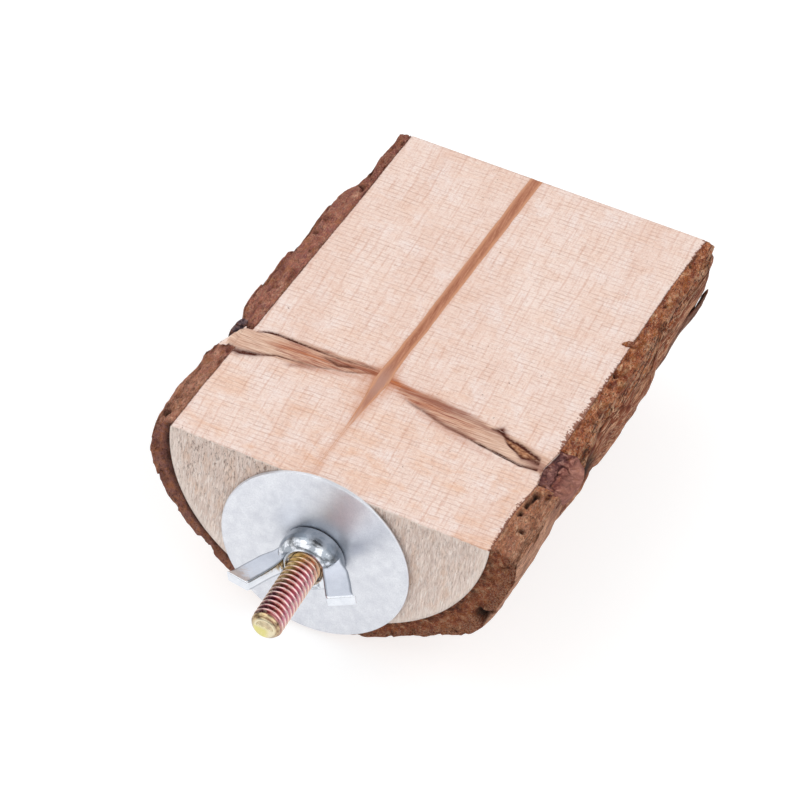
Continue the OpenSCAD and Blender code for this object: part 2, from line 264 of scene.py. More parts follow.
# Centre line and half width of each branch as it crosses the deck
branches = {
    "left": {"x": [-31.6, -29.1, -22.8, -17.9, -12.5, -8, -5.2], "y": [28.6, 28.8, 30.2, 30.7, 31.8, 32.7, 33.1],
             "w": [2.9, 3.1, 3.4, 3.1, 2.3, 1.6, 0.9]},
    "right": {"x": [-1.5, -0.5, 5, 11, 16.5, 22, 26, 29, 33],
              "y": [32.5, 32.2, 30.9, 29.3, 28.6, 27.9, 27.4, 26.7, 26.0],
              "w": [0.6, 0.8, 1.8, 2.9, 3.1, 3.0, 2.9, 2.6, 2.5]},
}
pithLine = {"y": [-1, 17, 26, 35, 43, 49, 59, 70, 81, 92, 104],
            "x": [-3.9, -3.3, -2.9, -2.8, -2.4, -2.0, -1.6, -1.1, -0.6, -0.2, 0.5],
            "wY": [-1, 8, 14, 19, 22, 27, 31, 36, 42, 70, 104],
            "w": [0.12, 0.12, 0.17, 0.32, 0.5, 0.9, 1.3, 1.15, 1.0, 1.04, 1.15]}

# Lines that the branches leave on the deck: place, half width and strength along x
deckLines = {
    "dark": [
        {"x": [2.5, 6.3, 10.6, 13.2, 16, 20.5, 24.8, 28.7, 32],
         "y": [29.6, 28.3, 27.1, 26.4, 26, 25.2, 24.6, 23.9, 24.5],
         "w": [0.35, 0.32, 0.32, 0.4, 0.32, 0.3, 0.3, 0.36, 0.4], "s": [0.2, 0.3, 0.34, 0.4, 0.5, 0.85, 1, 1, 0.9]},
        {"x": [20.4, 22.2, 23.6, 26.5, 29.8, 31.6], "y": [30.4, 30.8, 29.6, 29.2, 28, 27.2],
         "w": [0.3, 0.7, 0.42, 0.45, 0.55, 0.5], "s": [0.35, 0.85, 0.85, 1, 1, 0.9]},
        {"x": [23.2, 24.6, 26.4, 28.3, 29.7, 31.2], "y": [29.4, 28.2, 27.2, 26.1, 26.5, 27.5],
         "w": [0.25, 0.34, 0.42, 0.5, 0.5, 0.35], "s": [0.3, 0.7, 0.95, 1, 0.9, 0.6]},
        {"x": [21.4, 22.2, 23.2], "y": [30.6, 30.9, 30.2], "w": [0.4, 0.8, 0.4], "s": [0.3, 1, 0.5]},
        {"x": [28.9, 30.2, 31.7], "y": [27.2, 26.6, 26.3], "w": [0.5, 0.8, 0.7], "s": [0.2, 0.75, 0.8]},
        {"x": [-29, -27.1, -24.8, -21.3, -17.3, -14.3, -9.5, -4.5], "y": [31.8, 32.8, 33.2, 33.2, 33.1, 33, 33.3, 34.2],
         "w": [0.26, 0.3, 0.32, 0.3, 0.3, 0.32, 0.35, 0.4], "s": [0.6, 0.95, 0.95, 0.9, 0.8, 0.65, 0.45, 0.2]},
        {"x": [-32, -29.4, -26.4, -22.7, -18.6, -15.1, -9.3, -4.5], "y": [25.3, 25, 26, 27.7, 28.3, 28.7, 30.5, 32.8],
         "w": [0.5, 0.62, 0.5, 0.24, 0.22, 0.3, 0.3, 0.3], "s": [0.9, 0.95, 0.85, 0.55, 0.5, 0.4, 0.35, 0.15]},
        {"x": [-15.6, -14.6, -11.6, -9.1, -7.5], "y": [32.2, 32, 31.2, 32.2, 32.6],
         "w": [0.3, 0.4, 0.45, 0.35, 0.3], "s": [0, 0.45, 0.6, 0.5, 0]},
    ],
    "plum": [
        {"x": [1, 6, 12, 17, 19.5, 22.5], "y": [31.4, 31.4, 31.2, 30.7, 30, 30.2],
         "w": [0.8, 0.9, 1.1, 1, 0.7, 0.6], "s": [0.5, 0.7, 0.75, 0.75, 0.75, 0.5]},
        {"x": [4, 9, 13, 16.5, 19], "y": [28.9, 27.9, 26.6, 25.9, 25.6],
         "w": [0.5, 0.6, 0.8, 0.7, 0.5], "s": [0.35, 0.55, 0.8, 0.6, 0.3]},
        {"x": [27, 28.4, 30.4, 33], "y": [26.4, 26.1, 25.6, 25], "w": [0.5, 1.2, 1.5, 1.4], "s": [0.3, 1, 1, 1]},
        {"x": [20.6, 22.2, 24.0], "y": [30.4, 30.7, 29.8], "w": [0.6, 1.5, 0.9], "s": [0.3, 1, 0.6]},
        {"x": [-32, -29.4, -26.4, -23], "y": [25.2, 24.8, 25.7, 27.2],
         "w": [0.9, 1.1, 0.9, 0.4], "s": [0.7, 0.8, 0.7, 0]},
        {"x": [-21, -19.4, -17.8, -15], "y": [26.2, 26.7, 27.5, 28],
         "w": [0.3, 0.6, 0.6, 0.4], "s": [0, 0.6, 0.6, 0.2]},
        {"x": [-16, -11.6, -7, -3], "y": [31.6, 31.4, 32.4, 33.4],
         "w": [0.5, 0.8, 0.7, 0.6], "s": [0.2, 0.6, 0.5, 0.5]},
    ],
    "stain": [
        {"x": [-3, 0, 6, 10, 16, 21], "y": [32.6, 31.9, 30.8, 29.8, 28.9, 28.4],
         "w": [1.6, 1.7, 2.2, 2.2, 1.8, 1], "s": [0.9, 1, 0.85, 0.65, 0.4, 0]},
        {"x": [6, 11, 16, 22, 27], "y": [27.4, 26, 24.6, 23.4, 22.4],
         "w": [0.9, 1.1, 1.1, 0.9, 0.6], "s": [0.3, 0.55, 0.4, 0.25, 0]},
        {"x": [-27, -23, -16, -9, -3], "y": [30.4, 30.6, 30.8, 32, 33.3],
         "w": [0.8, 1.5, 1.8, 1.6, 1.5], "s": [0, 0.65, 0.75, 0.85, 0.95]},
        {"x": [-24, -19, -14, -8, -4], "y": [27, 27.3, 28.2, 30, 31.6],
         "w": [0.5, 0.9, 1, 1, 1.2], "s": [0, 0.5, 0.5, 0.45, 0.5]},
    ],
}

# How strongly the branches' fibres show along x, both sides of the overgrown bark along x, and how ragged the right
# edge is along y
deckRuns = {
    "fibre": ([-34, -31, -27, -22, -6, -2, 2, 8, 17, 21, 33], [0.5, 0.5, 0.6, 0.9, 1, 0.8, 0.9, 1, 0.9, 0.45, 0.35]),
    "oldRear": ([22.4, 23.6, 26.5, 29.8, 31.6], [30.6, 29.6, 29.2, 28, 27.2]),
    "oldFront": ([22.4, 23.2, 24.6, 26.4, 28.3, 29.7, 31.6], [30.5, 29.4, 28.2, 27.2, 26.1, 26.5, 27.2]),
    "ragged": ([0, 14, 20, 30, 35, 46, 56, 62, 80, 94, 100], [0.7, 0.9, 0.3, 0.3, 1.5, 1.3, 0.8, 0.3, 0.25, 0.4, 0.8]),
}


# Strength of one kind of line at places on the deck: each line fades to both sides by a bell curve
def drawn(kind, x, y, wander=0.0):
    total = np.zeros(np.broadcast(x, y).shape)
    for line in deckLines[kind]:
        s = np.interp(x, line["x"], line["s"], left=0, right=0)
        w = np.interp(x, line["x"], line["w"])
        total = np.maximum(total, s * np.exp(-(((y + wander - np.interp(x, line["x"], line["y"])) / w) ** 2)))
    return total


# What colours and cuts the sawn deck at points of it
def deckMarks(points):
    x, y = points[..., 0], points[..., 1] - log["face"]
    flat = points * np.array([1, 1, 0])
    wander = 0.5 * (layered(flat, (4, 4, 4), 2, 11) - 0.5) + 0.22 * (layered(flat, (1.0, 1.0, 1.0), 2, 12) - 0.5)
    marks = {kind: drawn(kind, x, y, wander * (0.6 if kind == "dark" else 1.6)) for kind in deckLines}
    marks["dark"] *= 0.55 + 0.75 * noise(flat, (1.7, 1.7, 1.7), 13)
    within = np.zeros_like(x)
    for side in branches.values():
        away = np.abs(y + wander - np.interp(x, side["x"], side["y"])) / np.interp(x, side["x"], side["w"])
        inside = (x > side["x"][0] - 1) & (x < side["x"][-1] + 1)
        within = np.maximum(within, smooth(1.2, 0.8, away) * inside)
    rear, front = np.interp(x, *deckRuns["oldRear"]), np.interp(x, *deckRuns["oldFront"])
    oldX = deckRuns["oldRear"][0]
    old = smooth(-0.15, 0.25, rear - y) * smooth(-0.15, 0.25, y - front) * ((x > oldX[0]) & (x < oldX[-1]))
    # Red-brown wood beside the pith, wider and stronger where the branches leave it
    centre, width = np.interp(y, pithLine["y"], pithLine["x"]), np.interp(y, pithLine["wY"], pithLine["w"])
    whorl = np.exp(-((y - 29) / 7) ** 2)
    beyond = np.maximum(np.abs(x + 0.5 * wander - centre) - 0.6 * width, 0) / (0.75 + 1.5 * whorl)
    halo = np.exp(-(beyond ** 2)) * (0.55 + 0.35 * whorl - 0.25 * smooth(22, 4, y))
    left, right = edges(y)
    return {**marks, "within": within, "fibre": within * np.interp(x, *deckRuns["fibre"]), "old": old, "halo": halo,
            "rim": np.clip(np.minimum(x - left, right - x), 0, 3),
            "ragged": np.where(x > 0, np.interp(y, *deckRuns["ragged"]), 0.18)}


# Rows along the log: closer together where the branches cross the deck
def rowShares(coarse, fine, low, high, total):
    y, rows = 0.0, [0.0]
    while y < total:
        y += fine if low < y < high else coarse
        rows.append(min(y, total))
    return np.array(rows) / total


# Wood block: deck, underside and both ends as one closed skin
block = {"across": 214, "capRows": 26, "coarse": 0.62, "fine": 0.23, "branchZone": (22, 36), "crackDepth": 0.35,
         "pocket": 0.3, "frontX": 0.35, "frontHalf": 32.15, "frontRadius": 31, "border": 4.0}
shares = rowShares(block["coarse"], block["fine"], *block["branchZone"], log["length"])
u = np.linspace(0, 1, block["across"])
phiAcross = np.pi * (u - 0.45 * np.sin(2 * np.pi * u) / (2 * np.pi))
rightPoint, leftPoint = woodPoint(np.zeros_like(shares), shares), woodPoint(np.full_like(shares, np.pi), shares)
deck = rightPoint[None] + (leftPoint - rightPoint)[None] * u[:, None, None]
xDeck, yDeck = deck[..., 0], deck[..., 1] - log["face"]
marks = deckMarks(deck)
# Shallow pockets under the pith and the branches, whose own pieces fill them
pithAway = np.abs(xDeck - np.interp(yDeck, pithLine["y"], pithLine["x"]))
pocket = smooth(-0.1, -0.4, pithAway - np.interp(yDeck, pithLine["wY"], pithLine["w"]))
for side in branches.values():
    away = np.abs(yDeck - np.interp(xDeck, side["x"], side["y"])) - np.interp(xDeck, side["x"], side["w"])
    inside = (xDeck > side["x"][0] + 0.5) & (xDeck < side["x"][-1] - 0.5)
    pocket = np.maximum(pocket, smooth(-0.15, -0.5, away) * inside)
fuzz = layered(deck, (0.9, 1.6, 1), 2, 31)
deck[..., 2] -= block["crackDepth"] * marks["dark"] + block["pocket"] * pocket
deck[..., 2] -= 0.35 * fuzz * smooth(0.6, 0, marks["rim"]) + 0.3 * fuzz * smooth(0.8, 0.0, yDeck)
deck[:, 0, 1] += 0.3 * layered(deck[:, 0], (0.5, 1, 1), 2, 33)
underside = woodPoint(phiAcross[:, None], shares[None, :])
underside[0], underside[-1] = deck[0], deck[-1]
down = np.linspace(0, 1, block["capRows"])[None, :, None]
front = deck[:, :1] + (underside[:, :1] - deck[:, :1]) * down
rear = deck[:, -1:] + (underside[:, -1:] - deck[:, -1:]) * down
fromCentre = np.hypot((front[..., 0] - block["frontX"]) / block["frontHalf"],
                      (log["deck"] - front[..., 2]) / log["depth"])
border = np.clip((1 - fromCentre) * block["frontRadius"], 0, block["border"])

# The grain runs a little askew to the log
grainTurn = math.radians(-2.6)
dull = {"Specular IOR Level": 0.2}
deckWood, seen = material("bandSawnSapwood", grainTurn, (
    "Y", "halo", "within", "stain", "fibre", "plum", "old", "dark", "ragged", "rim"))
# Pale pinkish cream with soft wide shades, warmer towards the front
base = tinted("#F0DCD2", "#E8CBBD", 1, streaks((9, 50, 9), 0.3, 0.7, 2))
frontward = add("MapRange", (seen["Y"], 46, 8, 0.3, 1))
base = tinted(base, "#E3AD85", 0.62, streaks((9, 5, 9), 0.44, 0.68, 4, 0.6, 0.5), frontward)
base = tinted(base, "#F2E6E2", 0.6, streaks((5, 6, 6), 0.5, 0.7, 4, 0.6, 0.4))
# Growth rings cut along the log: thin broken warm lines that run with the grain
rings = bands("X", 1.75, 3.2, 0.8, 1)
base = tinted(base, "#CB9074", 0.4, rings, streaks((2.2, 12, 4), 0.38, 0.64, 4, 0.65))
ringsFine = streaks((0.3, 5, 2), 0.52, 0.7, 4, 0.65)
base = tinted(base, "#CE9C84", 0.45, ringsFine)
# Saw marks: close lines across the grain in uneven patches, light and dark
saw = add("Math", (bands("Y", 1.12, 2.2, 0.76, 1), streaks((3.5, 2.2, 3), 0.38, 0.62, 4, 0.65)),
          operation="MULTIPLY")
base = tinted(base, "#B78672", 0.5, saw)
sawFine = streaks((1.1, 0.24, 3), 0.5, 0.68, 3, 0.65)
base = tinted(base, "#FBF1EA", 0.42, sawFine)
base = tinted(base, "#BF917D", 0.42, streaks((0.9, 0.22, 3), 0.54, 0.7, 3, 0.65))
# Fine grit, short dark pores and a few specks
base = tinted(base, "#D2A48F", 0.2, streaks((0.36, 0.36, 1), 0.45, 0.66, 2))
pores = streaks((0.24, 0.6, 0.5), 0.62, 0.76, 3, 0.65)
base = tinted(base, "#96694F", 0.6, pores)
base = tinted(base, "#7E5A4B", 0.7, streaks((1.3, 1.6, 1.3), 0.75, 0.79, 2))
# Soft red-brown wood beside the pith
softFibre = streaks((0.6, 8, 1), 0.25, 0.7, 3, 0.6, 0.2)
base = tinted(base, "#C27B50", 1, seen["halo"], add("MapRange", (softFibre, 0, 1, 0.4, 1)))
# Branch wood: its fibres run across the deck, brown towards the pith
acrossFibre = streaks((7, 0.42, 1), 0.32, 0.68, 4, 0.6, 0.25)
base = tinted(base, tinted("#E9CAB2", "#B67D60", 0.75, acrossFibre), 0.82, seen["within"])
base = tinted(base, "#B4663A", 1, seen["stain"], add("MapRange", (acrossFibre, 0, 1, 0.45, 1.1)))
base = tinted(base, "#8C4636", 0.8, seen["fibre"], streaks((4, 0.26, 1), 0.47, 0.62, 4, 0.65, 0.4))
base = tinted(base, "#855043", 0.95, seen["plum"], add("MapRange", (acrossFibre, 0, 1, 0.6, 1.1)))
# Bark that the wood has grown round beside the right branch
oldBark = add("ValToRGB", [streaks((0.8, 0.5, 1), 0.35, 0.65, 3)],
              [(0.0, "#7E4F38"), (0.5, "#B07A58"), (1.0, "#CC9D7A")])
base = tinted(base, oldBark, 1, seen["old"])
# Dark lines of bark and open cracks
broken = streaks((0.7, 0.35, 1), 0.3, 0.6, 3)
base = tinted(base, "#4A1D10", 1, seen["dark"], add("MapRange", (broken, 0, 1, 0.8, 1.6)))
# Ragged bark-brown fringe along the sawn edge
jag = add("Math", (streaks((0.9, 0.6, 1), 0.38, 0.66, 4, 0.6), seen["ragged"]), operation="MULTIPLY")
fringe = add("Math", (seen["rim"], jag), operation="SUBTRACT")
base = tinted(base, "#8A5540", 0.92, add("MapRange", (fringe, 0.12, -0.08)))
finish(base, 0.8, [(saw, 0.3, 0.06), (ringsFine, 0.25, 0.04), (pores, 0.4, 0.08), (sawFine, 0.2, 0.04)], **dull)

endWood, seen = material("sawnEndGrain", 0.0, ("X", "Z", "border"))
# Grey-beige upright saw fuzz, with short dark flecks that thicken towards the deck and the left
fuzzMarks = streaks((0.34, 2, 2.8), 0.38, 0.62, 5, 0.74, 0.25)
base = tinted("#F8E8DE", "#BC9C8C", 0.6, fuzzMarks)
base = tinted(base, "#E8C2A6", 0.45, streaks((2.2, 2, 5), 0.5, 0.72, 3))
base = tinted(base, "#FFFAF5", 0.55, streaks((0.24, 2, 1.6), 0.52, 0.7, 3))
upper = add("MapRange", (seen["Z"], -8, 16))
leftward = add("MapRange", (seen["X"], 22, -6, 0.25, 1))
flecks = streaks((0.3, 1, 1.1), 0.54, 0.65, 4, 0.68, 0.3)
base = tinted(base, "#67473B", 0.8, flecks, upper, leftward)
base = tinted(base, "#B79A8C", 0.16, upper)
base = tinted(base, "#85563C", 0.5, streaks((0.4, 1, 0.6), 0.68, 0.74, 2))
base = tinted(base, "#F6E8DE", 0.5, add("MapRange", (seen["border"], 2.2, 0.6)))
finish(base, 0.85, [(fuzzMarks, 0.7, 0.22), (flecks, 0.5, 0.25)], **dull)

gridPiece("woodBlock", [
    (deck, True, 0, marks),
    (underside, False, 1, {}),
    (front, False, 1, {"border": border}),
    (rear, True, 1, {"border": block["border"]}),
], [deckWood, endWood], "perch", "wood_block")

# Pith: a half round strip let into the deck, its edges frayed into the wood
pith = {"rows": 330, "columns": 15, "proud": 0.012, "margin": 1.12, "dip": 0.07}
run = np.linspace(0, 1, pith["rows"])
fromRearX = np.interp(run * log["length"], pithLine["y"], pithLine["x"]) - log["rearX"]
yPith = run * (log["length"] + fromRearX * log["rearCut"])
middle = np.interp(yPith, pithLine["y"], pithLine["x"]) + 0.2 * (alongOnly(yPith, 8, 5, 2) - 0.5)
halfPith = pith["margin"] * np.interp(yPith, pithLine["wY"], pithLine["w"]) * (0.94 + 0.12 * alongOnly(yPith, 4, 8, 2))
column = np.linspace(-1, 1, pith["columns"])[:, None]
ones = np.ones_like(column)
top = np.stack([middle + halfPith * column, (yPith + log["face"]) * ones,
                (log["deck"] + pith["proud"]) * ones + 0 * yPith], -1)
crack = deckMarks(top)["dark"]
dip = pith["dip"] * smooth(0.9, 0.3, np.abs(column)) * layered(top, (0.5, 4, 1), 2, 6)
top[..., 2] -= dip + block["crackDepth"] * crack
turn = (column + 1) / 2 * np.pi
below = np.stack([middle - halfPith * np.cos(turn), (yPith + log["face"]) * ones,
                  top[..., 2] - halfPith * np.sin(turn)], -1)
fold = np.linspace(0, 1, 5)[None, :, None]
capFront = top[:, :1] + (below[:, :1] - top[:, :1]) * fold
capRear = top[:, -1:] + (below[:, -1:] - top[:, -1:]) * fold
pithMarks = {"edge": np.abs(column) + 0 * yPith, "whorl": ones * np.exp(-((yPith - 30.5) / 5.5) ** 2),
             "ahead": ones * smooth(26, 15, yPith), "dark": crack}
pithWood, seen = material("softPith", grainTurn, ("whorl", "ahead", "edge", "dark"))
# Red-brown soft core that frays into pale wood; dull purple where the branches leave, thin and grey in front
core = streaks((0.32, 6, 1), 0.32, 0.66, 4, 0.6)
base = tinted("#BE8468", "#9A6048", 1, core)
base = tinted(base, "#CC9778", 0.4, streaks((0.3, 1.2, 1), 0.54, 0.7, 3))
base = tinted(base, "#B48878", 0.95, seen["whorl"])
base = tinted(base, "#DDB5A0", 0.9, seen["ahead"])
frayed = add("Math", (core, 0.5, seen["edge"]), operation="MULTIPLY_ADD")
base = tinted(base, tinted("#D6A284", "#C08460", 0.8, core), 1, add("MapRange", (frayed, 0.72, 1.14)))
base = tinted(base, "#43201B", 0.9, seen["dark"])
finish(base, 0.85, [(core, 0.4, 0.1)], **dull)
gridPiece("pithStrip", [
    (top, False, 0, pithMarks),
    (below, True, 0, pithMarks),
    (capFront, True, 0, {}),
    (capRear, False, 0, {}),
], [pithWood], "perch", "pith")

# Branches: half spindles under the deck with a lumpy stub in the bark
knotBark, seen = material("branchStubBark", 0.0, ("grey", "pink", "crease"))
# Lumpy purple-brown stub, greyer on the left side, with dark creases that are partly darker bark and partly painted
# shade, and orange-brown patches that are painted highlights
lumps = streaks((1.5, 1.5, 1.5), 0.36, 0.64, 5, 0.68, 0.9)
base = add("ValToRGB", [lumps], [(0.0, "#401C18"), (0.35, "#743F39"), (0.65, "#8E564B"), (1.0, "#BC8474")])
greyer = add("ValToRGB", [lumps], [(0.0, "#2F2526"), (0.4, "#55434A"), (0.7, "#6E5A5C"), (1.0, "#957870")])
base = tinted(base, greyer, 1, seen["grey"])
# Orange-brown patches: painted highlights
base = tinted(base, "#A8663F", 0.6, streaks((1.1, 1.1, 1.1), 0.55, 0.68, 4, 0.65, 0.6))
base = tinted(base, "#AC7A6C", 0.5, seen["pink"])
# Dark creases: darker bark with painted shade in them
base = tinted(base, "#2B1816", 0.6, seen["crease"])
base = tinted(base, "#D0A18A", 0.4, streaks((0.3, 0.3, 0.3), 0.6, 0.72, 3))
finish(base, 0.85, [(lumps, 0.8, 0.45)], **dull)

stubs = {
    "left": {"name": "branchLeft", "node": "knot_left", "sign": -1, "reach": 33.6, "y": 31.0, "r": 3.5, "sink": 0.5,
             "lump": 0.9},
    "right": {"name": "branchRight", "node": "knot_right", "sign": 1, "reach": 40.4, "y": 25.8, "r": 5.8, "sink": 0.45,
              "lump": 1.5},
}
# Thin tongue of the left branch's wood that runs out over its stub
tongue = {"x": -31.2, "y": 28.4, "out": 2.3, "forward": 3.8, "half": 2.9, "rise": 0.3, "thick": 0.6}
knotProud = 0.01
rimInside = 3.0  # beyond the ragged fringe of the deck's edge
for side, stub in stubs.items():
    line, sign = branches[side], stub["sign"]
    xs, ys, ws = (np.array(line[k][::sign]) for k in ("x", "y", "w"))
    outward = sign * xs
    edgeX = outward[-1]
    far = np.concatenate([np.linspace(outward[0], edgeX, 130)[:-1], np.linspace(edgeX, stub["reach"], 84)])
    t = np.clip((far - edgeX) / (stub["reach"] - edgeX), 0, 1)
    grow = smooth(-0.05, 0.12, t) * (far > edgeX - 0.5)
    w = np.interp(far, outward, ws) * (1 - grow) + stub["r"] * grow
    w = w * np.sqrt(np.clip(1 - (np.maximum(t - 0.5, 0) / 0.5) ** 2, 0, 1))
    yc = np.interp(far, outward, ys) * (1 - grow) + stub["y"] * grow
    isStub = smooth(-0.5, 0.5, far - edgeX)
    column = np.linspace(-1, 1, 61)[:, None]
    turn = (column + 1) / 2 * np.pi
    x = sign * far + 0 * column
    topGrid = np.stack([x, yc + w * column + log["face"], log["deck"] + knotProud + 0 * x], -1)
    lowGrid = np.stack([x, yc - w * np.cos(turn) + log["face"], log["deck"] + knotProud - w * np.sin(turn)], -1)
    found = {**deckMarks(topGrid), "rim": rimInside}
    edgeDark = (found["dark"][0] * (column < 0) + found["dark"][-1] * (column > 0)) * (np.abs(column) == 1)
    stubMarks = []
    for grid, dark in ((topGrid, found["dark"]), (lowGrid, edgeDark)):
        lump = layered(grid, (3.2, 3.2, 3.2), 3, 41)
        crease = smooth(0.035, 0.0, np.abs(layered(grid, (3.4, 3.4, 3.4), 3, 45) - 0.48))
        crease = crease * isStub * smooth(39.5, 36.5, grid[..., 0])
        greyed = 1.0 if sign < 0 else 0.45 * smooth(36.8, 34.5, grid[..., 0])
        stubMarks.append({"crease": crease, "grey": greyed * (0.6 + 0.8 * noise(grid, (2, 2, 2), 49)),
                          "pink": smooth(36.2, 38.2, grid[..., 0])})
        swell = isStub * stub["lump"] * (layered(grid, (2.4, 2.4, 2.4), 2, 47) - 0.5)
        reachOut = grid[..., 1] - log["face"] - yc
        grid[..., 1] += swell * np.sign(reachOut) * smooth(0, 1.0, np.abs(reachOut))
        sunk = isStub * (stub["sink"] + stub["lump"] * (lump - 0.5) + 0.35 * crease)
        grid[..., 2] -= sunk + (1 - isStub) * block["crackDepth"] * dark
    innerEnd = np.stack([topGrid[:, 0], lowGrid[:, 0]], 1)
    patches = [(topGrid, sign > 0, 0, {**found, **stubMarks[0]}), (lowGrid, sign < 0, 1, stubMarks[1]),
               (innerEnd, False, 0, {})]
    if side == "left":
        run, wide = np.linspace(0, 1, 24), np.linspace(-1, 1, 13)[:, None]
        half = tongue["half"] * np.clip(1 - run, 0, 1) ** 0.7 * (0.85 + 0.3 * alongOnly(9 * run, 1.1, 43))
        over = np.stack([
            tongue["x"] - tongue["out"] * run + 0 * wide,
            tongue["y"] - tongue["forward"] * run ** 1.3 + half * wide + log["face"],
            log["deck"] + 2 * knotProud + tongue["rise"] * smooth(0, 0.3, run) + 0 * wide], -1)
        under = over - np.array([0, 0, tongue["thick"]]) * (half * (1 - wide ** 2))[..., None]
        patches += [(over, False, 0, {**deckMarks(over), "rim": rimInside}), (under, True, 0, {}),
                    (np.stack([over[:, 0], under[:, 0]], 1), False, 0, {})]
    mesh = gridPiece(stub["name"], patches, [deckWood, knotBark], "perch", stub["node"])
    # Bark on the stub, wood on what lies in the deck and on the tongue
    centres = np.zeros(len(mesh.polygons) * 3)
    mesh.polygons.foreach_get("center", centres)
    flags = np.zeros(len(mesh.polygons), np.int32)
    flags[sign * centres.reshape(-1, 3)[:, 0] > (edgeX - 0.1) * mm] = 1
    flags[2 * (topGrid.shape[0] - 1) * (topGrid.shape[1] - 1):] = 0
    mesh.polygons.foreach_set("material_index", flags)

# Bark: one solid between the wood and the furrowed outside, cut in two at the crack that rings the log
bark = {"gap": 0.04, "round": 224, "capRows": 19, "ridge": 1.3, "furrow": 0.7, "crack": 0.22, "droop": 0.7,
        "rowStep": 0.4, "rightCrack": 26.0, "leftCrack": 30.4}
# Hollows in the bark's outside, painted dark as their shade: angle in degrees, place along the log, and both half sizes
hollows = [(8, 34.8, 5.5, 4.4), (25, 66, 2.5, 2.5), (16, 79, 2, 5), (171, 62, 3, 1.5)]
# Pits in the sawn faces, painted dark as their shade: x, y and radius
pits = [(35.1, 56.5, 0.62), (36.6, 80.6, 0.4), (36.4, 94.4, 0.45), (40.2, 74.8, 0.4), (35.6, 8.2, 0.6),
        (34.6, 18.3, 0.8), (-31.2, 64.6, 0.55), (-34.2, 4.0, 0.9), (-29.2, 82, 0.4)]
# Ragged crevice beside the wood in front of the right branch, and a hollow low in the front end, both painted dark as
# their shade
crevice = {"y": [11, 13, 15.6, 17, 19.5], "x": [33.4, 33.7, 33.9, 34.3, 34.9], "half": 0.42, "fade": 1.5}
endHollow = {"x": 33.9, "z": -0.3, "halfX": 1.9, "halfY": 2, "halfZ": 1.5}


# The bark is as thick as the front end shows, times a share for the right and the left side along the log
def barkThickness(phi, y):
    degrees = np.degrees(phi)
    side = degrees / 180
    along = np.interp(y, log["rightTY"], log["rightT"]) * (1 - side) + np.interp(y, log["leftTY"], log["leftT"]) * side
    return np.interp(degrees, log["roundPhi"], log["roundT"]) * along


# Painted shade: 1 in pits and hollows, where the bark is also sunk
def barkHoleShade(phi, y, point):
    degrees = np.degrees(phi)
    dark = np.zeros(np.broadcast(phi, y).shape)
    for angle, place, wide, long in hollows:
        dark = np.maximum(dark, np.exp(-(((degrees - angle) / wide) ** 2 + ((y - place) / long) ** 2) ** 2))
    nearTop = point[..., 2] > log["deck"] - 3
    uneven = 0.4 + 1.5 * layered(point, (0.8, 1.1, 0.8), 2, 97)
    for x, place, r in pits:
        away = ((point[..., 0] - x) ** 2 + (y - place) ** 2) / r ** 2
        dark = np.maximum(dark, np.exp(-((away * uneven) ** 2)) * nearTop)
    start, end, fade = crevice["y"][0], crevice["y"][-1], crevice["fade"]
    beside = (point[..., 0] - np.interp(y, crevice["y"], crevice["x"])) / crevice["half"]
    torn = smooth(0.3, 0.5, layered(point, (0.9, 1.3, 0.9), 2, 98))
    torn = torn * smooth(start, start + fade, y) * smooth(end, end - fade, y)
    dark = np.maximum(dark, 0.9 * np.exp(-(beside ** 4)) * torn * nearTop)
    inEnd = ((point[..., 0] - endHollow["x"]) / endHollow["halfX"]) ** 2
    inEnd = inEnd + ((point[..., 2] - endHollow["z"]) / endHollow["halfZ"]) ** 2 + (y / endHollow["halfY"]) ** 2
    return np.maximum(dark, np.exp(-(inEnd ** 2)))


# Point at share t of the bark's thickness, with furrows on the outside and torn fibres on the sawn faces
def barkPoint(phi, share, t):
    bare = woodPoint(phi, share)
    y = bare[..., 1] - log["face"]
    thick = barkThickness(phi, y)
    swirl = bare + 3.0 * (np.stack([noise(bare, (9, 14, 9), 61), 0 * y, noise(bare, (9, 14, 9), 62)], -1) - 0.5)
    plates = layered(swirl, (5, 16, 5), 3, 63)
    furrow = smooth(0.09, 0.0, np.abs(layered(swirl, (5.2, 22, 5.2), 2, 66) - 0.5))
    fine = layered(bare, (0.9, 3.2, 0.9), 2, 69)
    # Flatter in front and where the bark is thin
    calm = 1 - 0.65 * np.maximum(smooth(30, 20, y) * smooth(1.2, 0.8, phi), smooth(16, 6, y))
    thin = np.clip(thick / 3.0, 0.25, 1) * calm
    outside = bark["ridge"] * (plates - 0.48) - bark["furrow"] * (furrow - 0.25) + 0.3 * (fine - 0.5)
    dark = barkHoleShade(phi, y, woodPoint(phi, share, t * thick))
    out = bark["gap"] + t * (thick - bark["gap"] + thin * outside - 0.8 * dark)
    # The sawn faces: torn, holed and split beside the deck, and cut uneven at the ends
    placed = woodPoint(phi, share, out)
    torn = layered(placed, (0.9, 1.9, 0.9), 3, 72, 0.62)
    holes = smooth(0.66, 0.8, noise(placed, (1.3, 1.8, 1.3), 75))
    split = smooth(0.09, 0.0, np.abs(layered(placed, (1.5, 20, 1.5), 2, 88) - 0.5)) * smooth(0.35, 0.65, t)
    atDeck = np.exp(-((np.minimum(phi, np.pi - phi) / math.radians(2.2)) ** 2))
    drop = bark["droop"] * t ** 3 + 1.1 * (torn - 0.38) * smooth(0, 0.12, t) + 0.8 * split
    drop = atDeck * (drop + (0.9 * holes + 1.2 * dark) * smooth(0, 0.15, t))
    point = woodPoint(phi, share, out, drop)
    atEnd = np.exp(-((share * log["length"] / 0.6) ** 2)) + np.exp(-(((1 - share) * log["length"] / 0.6) ** 2))
    inward = np.where(share < 0.5, 1.0, -1.0)
    cut = 0.7 * np.clip(torn - 0.3, 0, 1) * smooth(0, 0.1, t) + (0.8 * holes + 1.5 * dark) * smooth(0.05, 0.2, t)
    point[..., 1] += inward * atEnd * (cut + 0.1 * t ** 6)
    return point


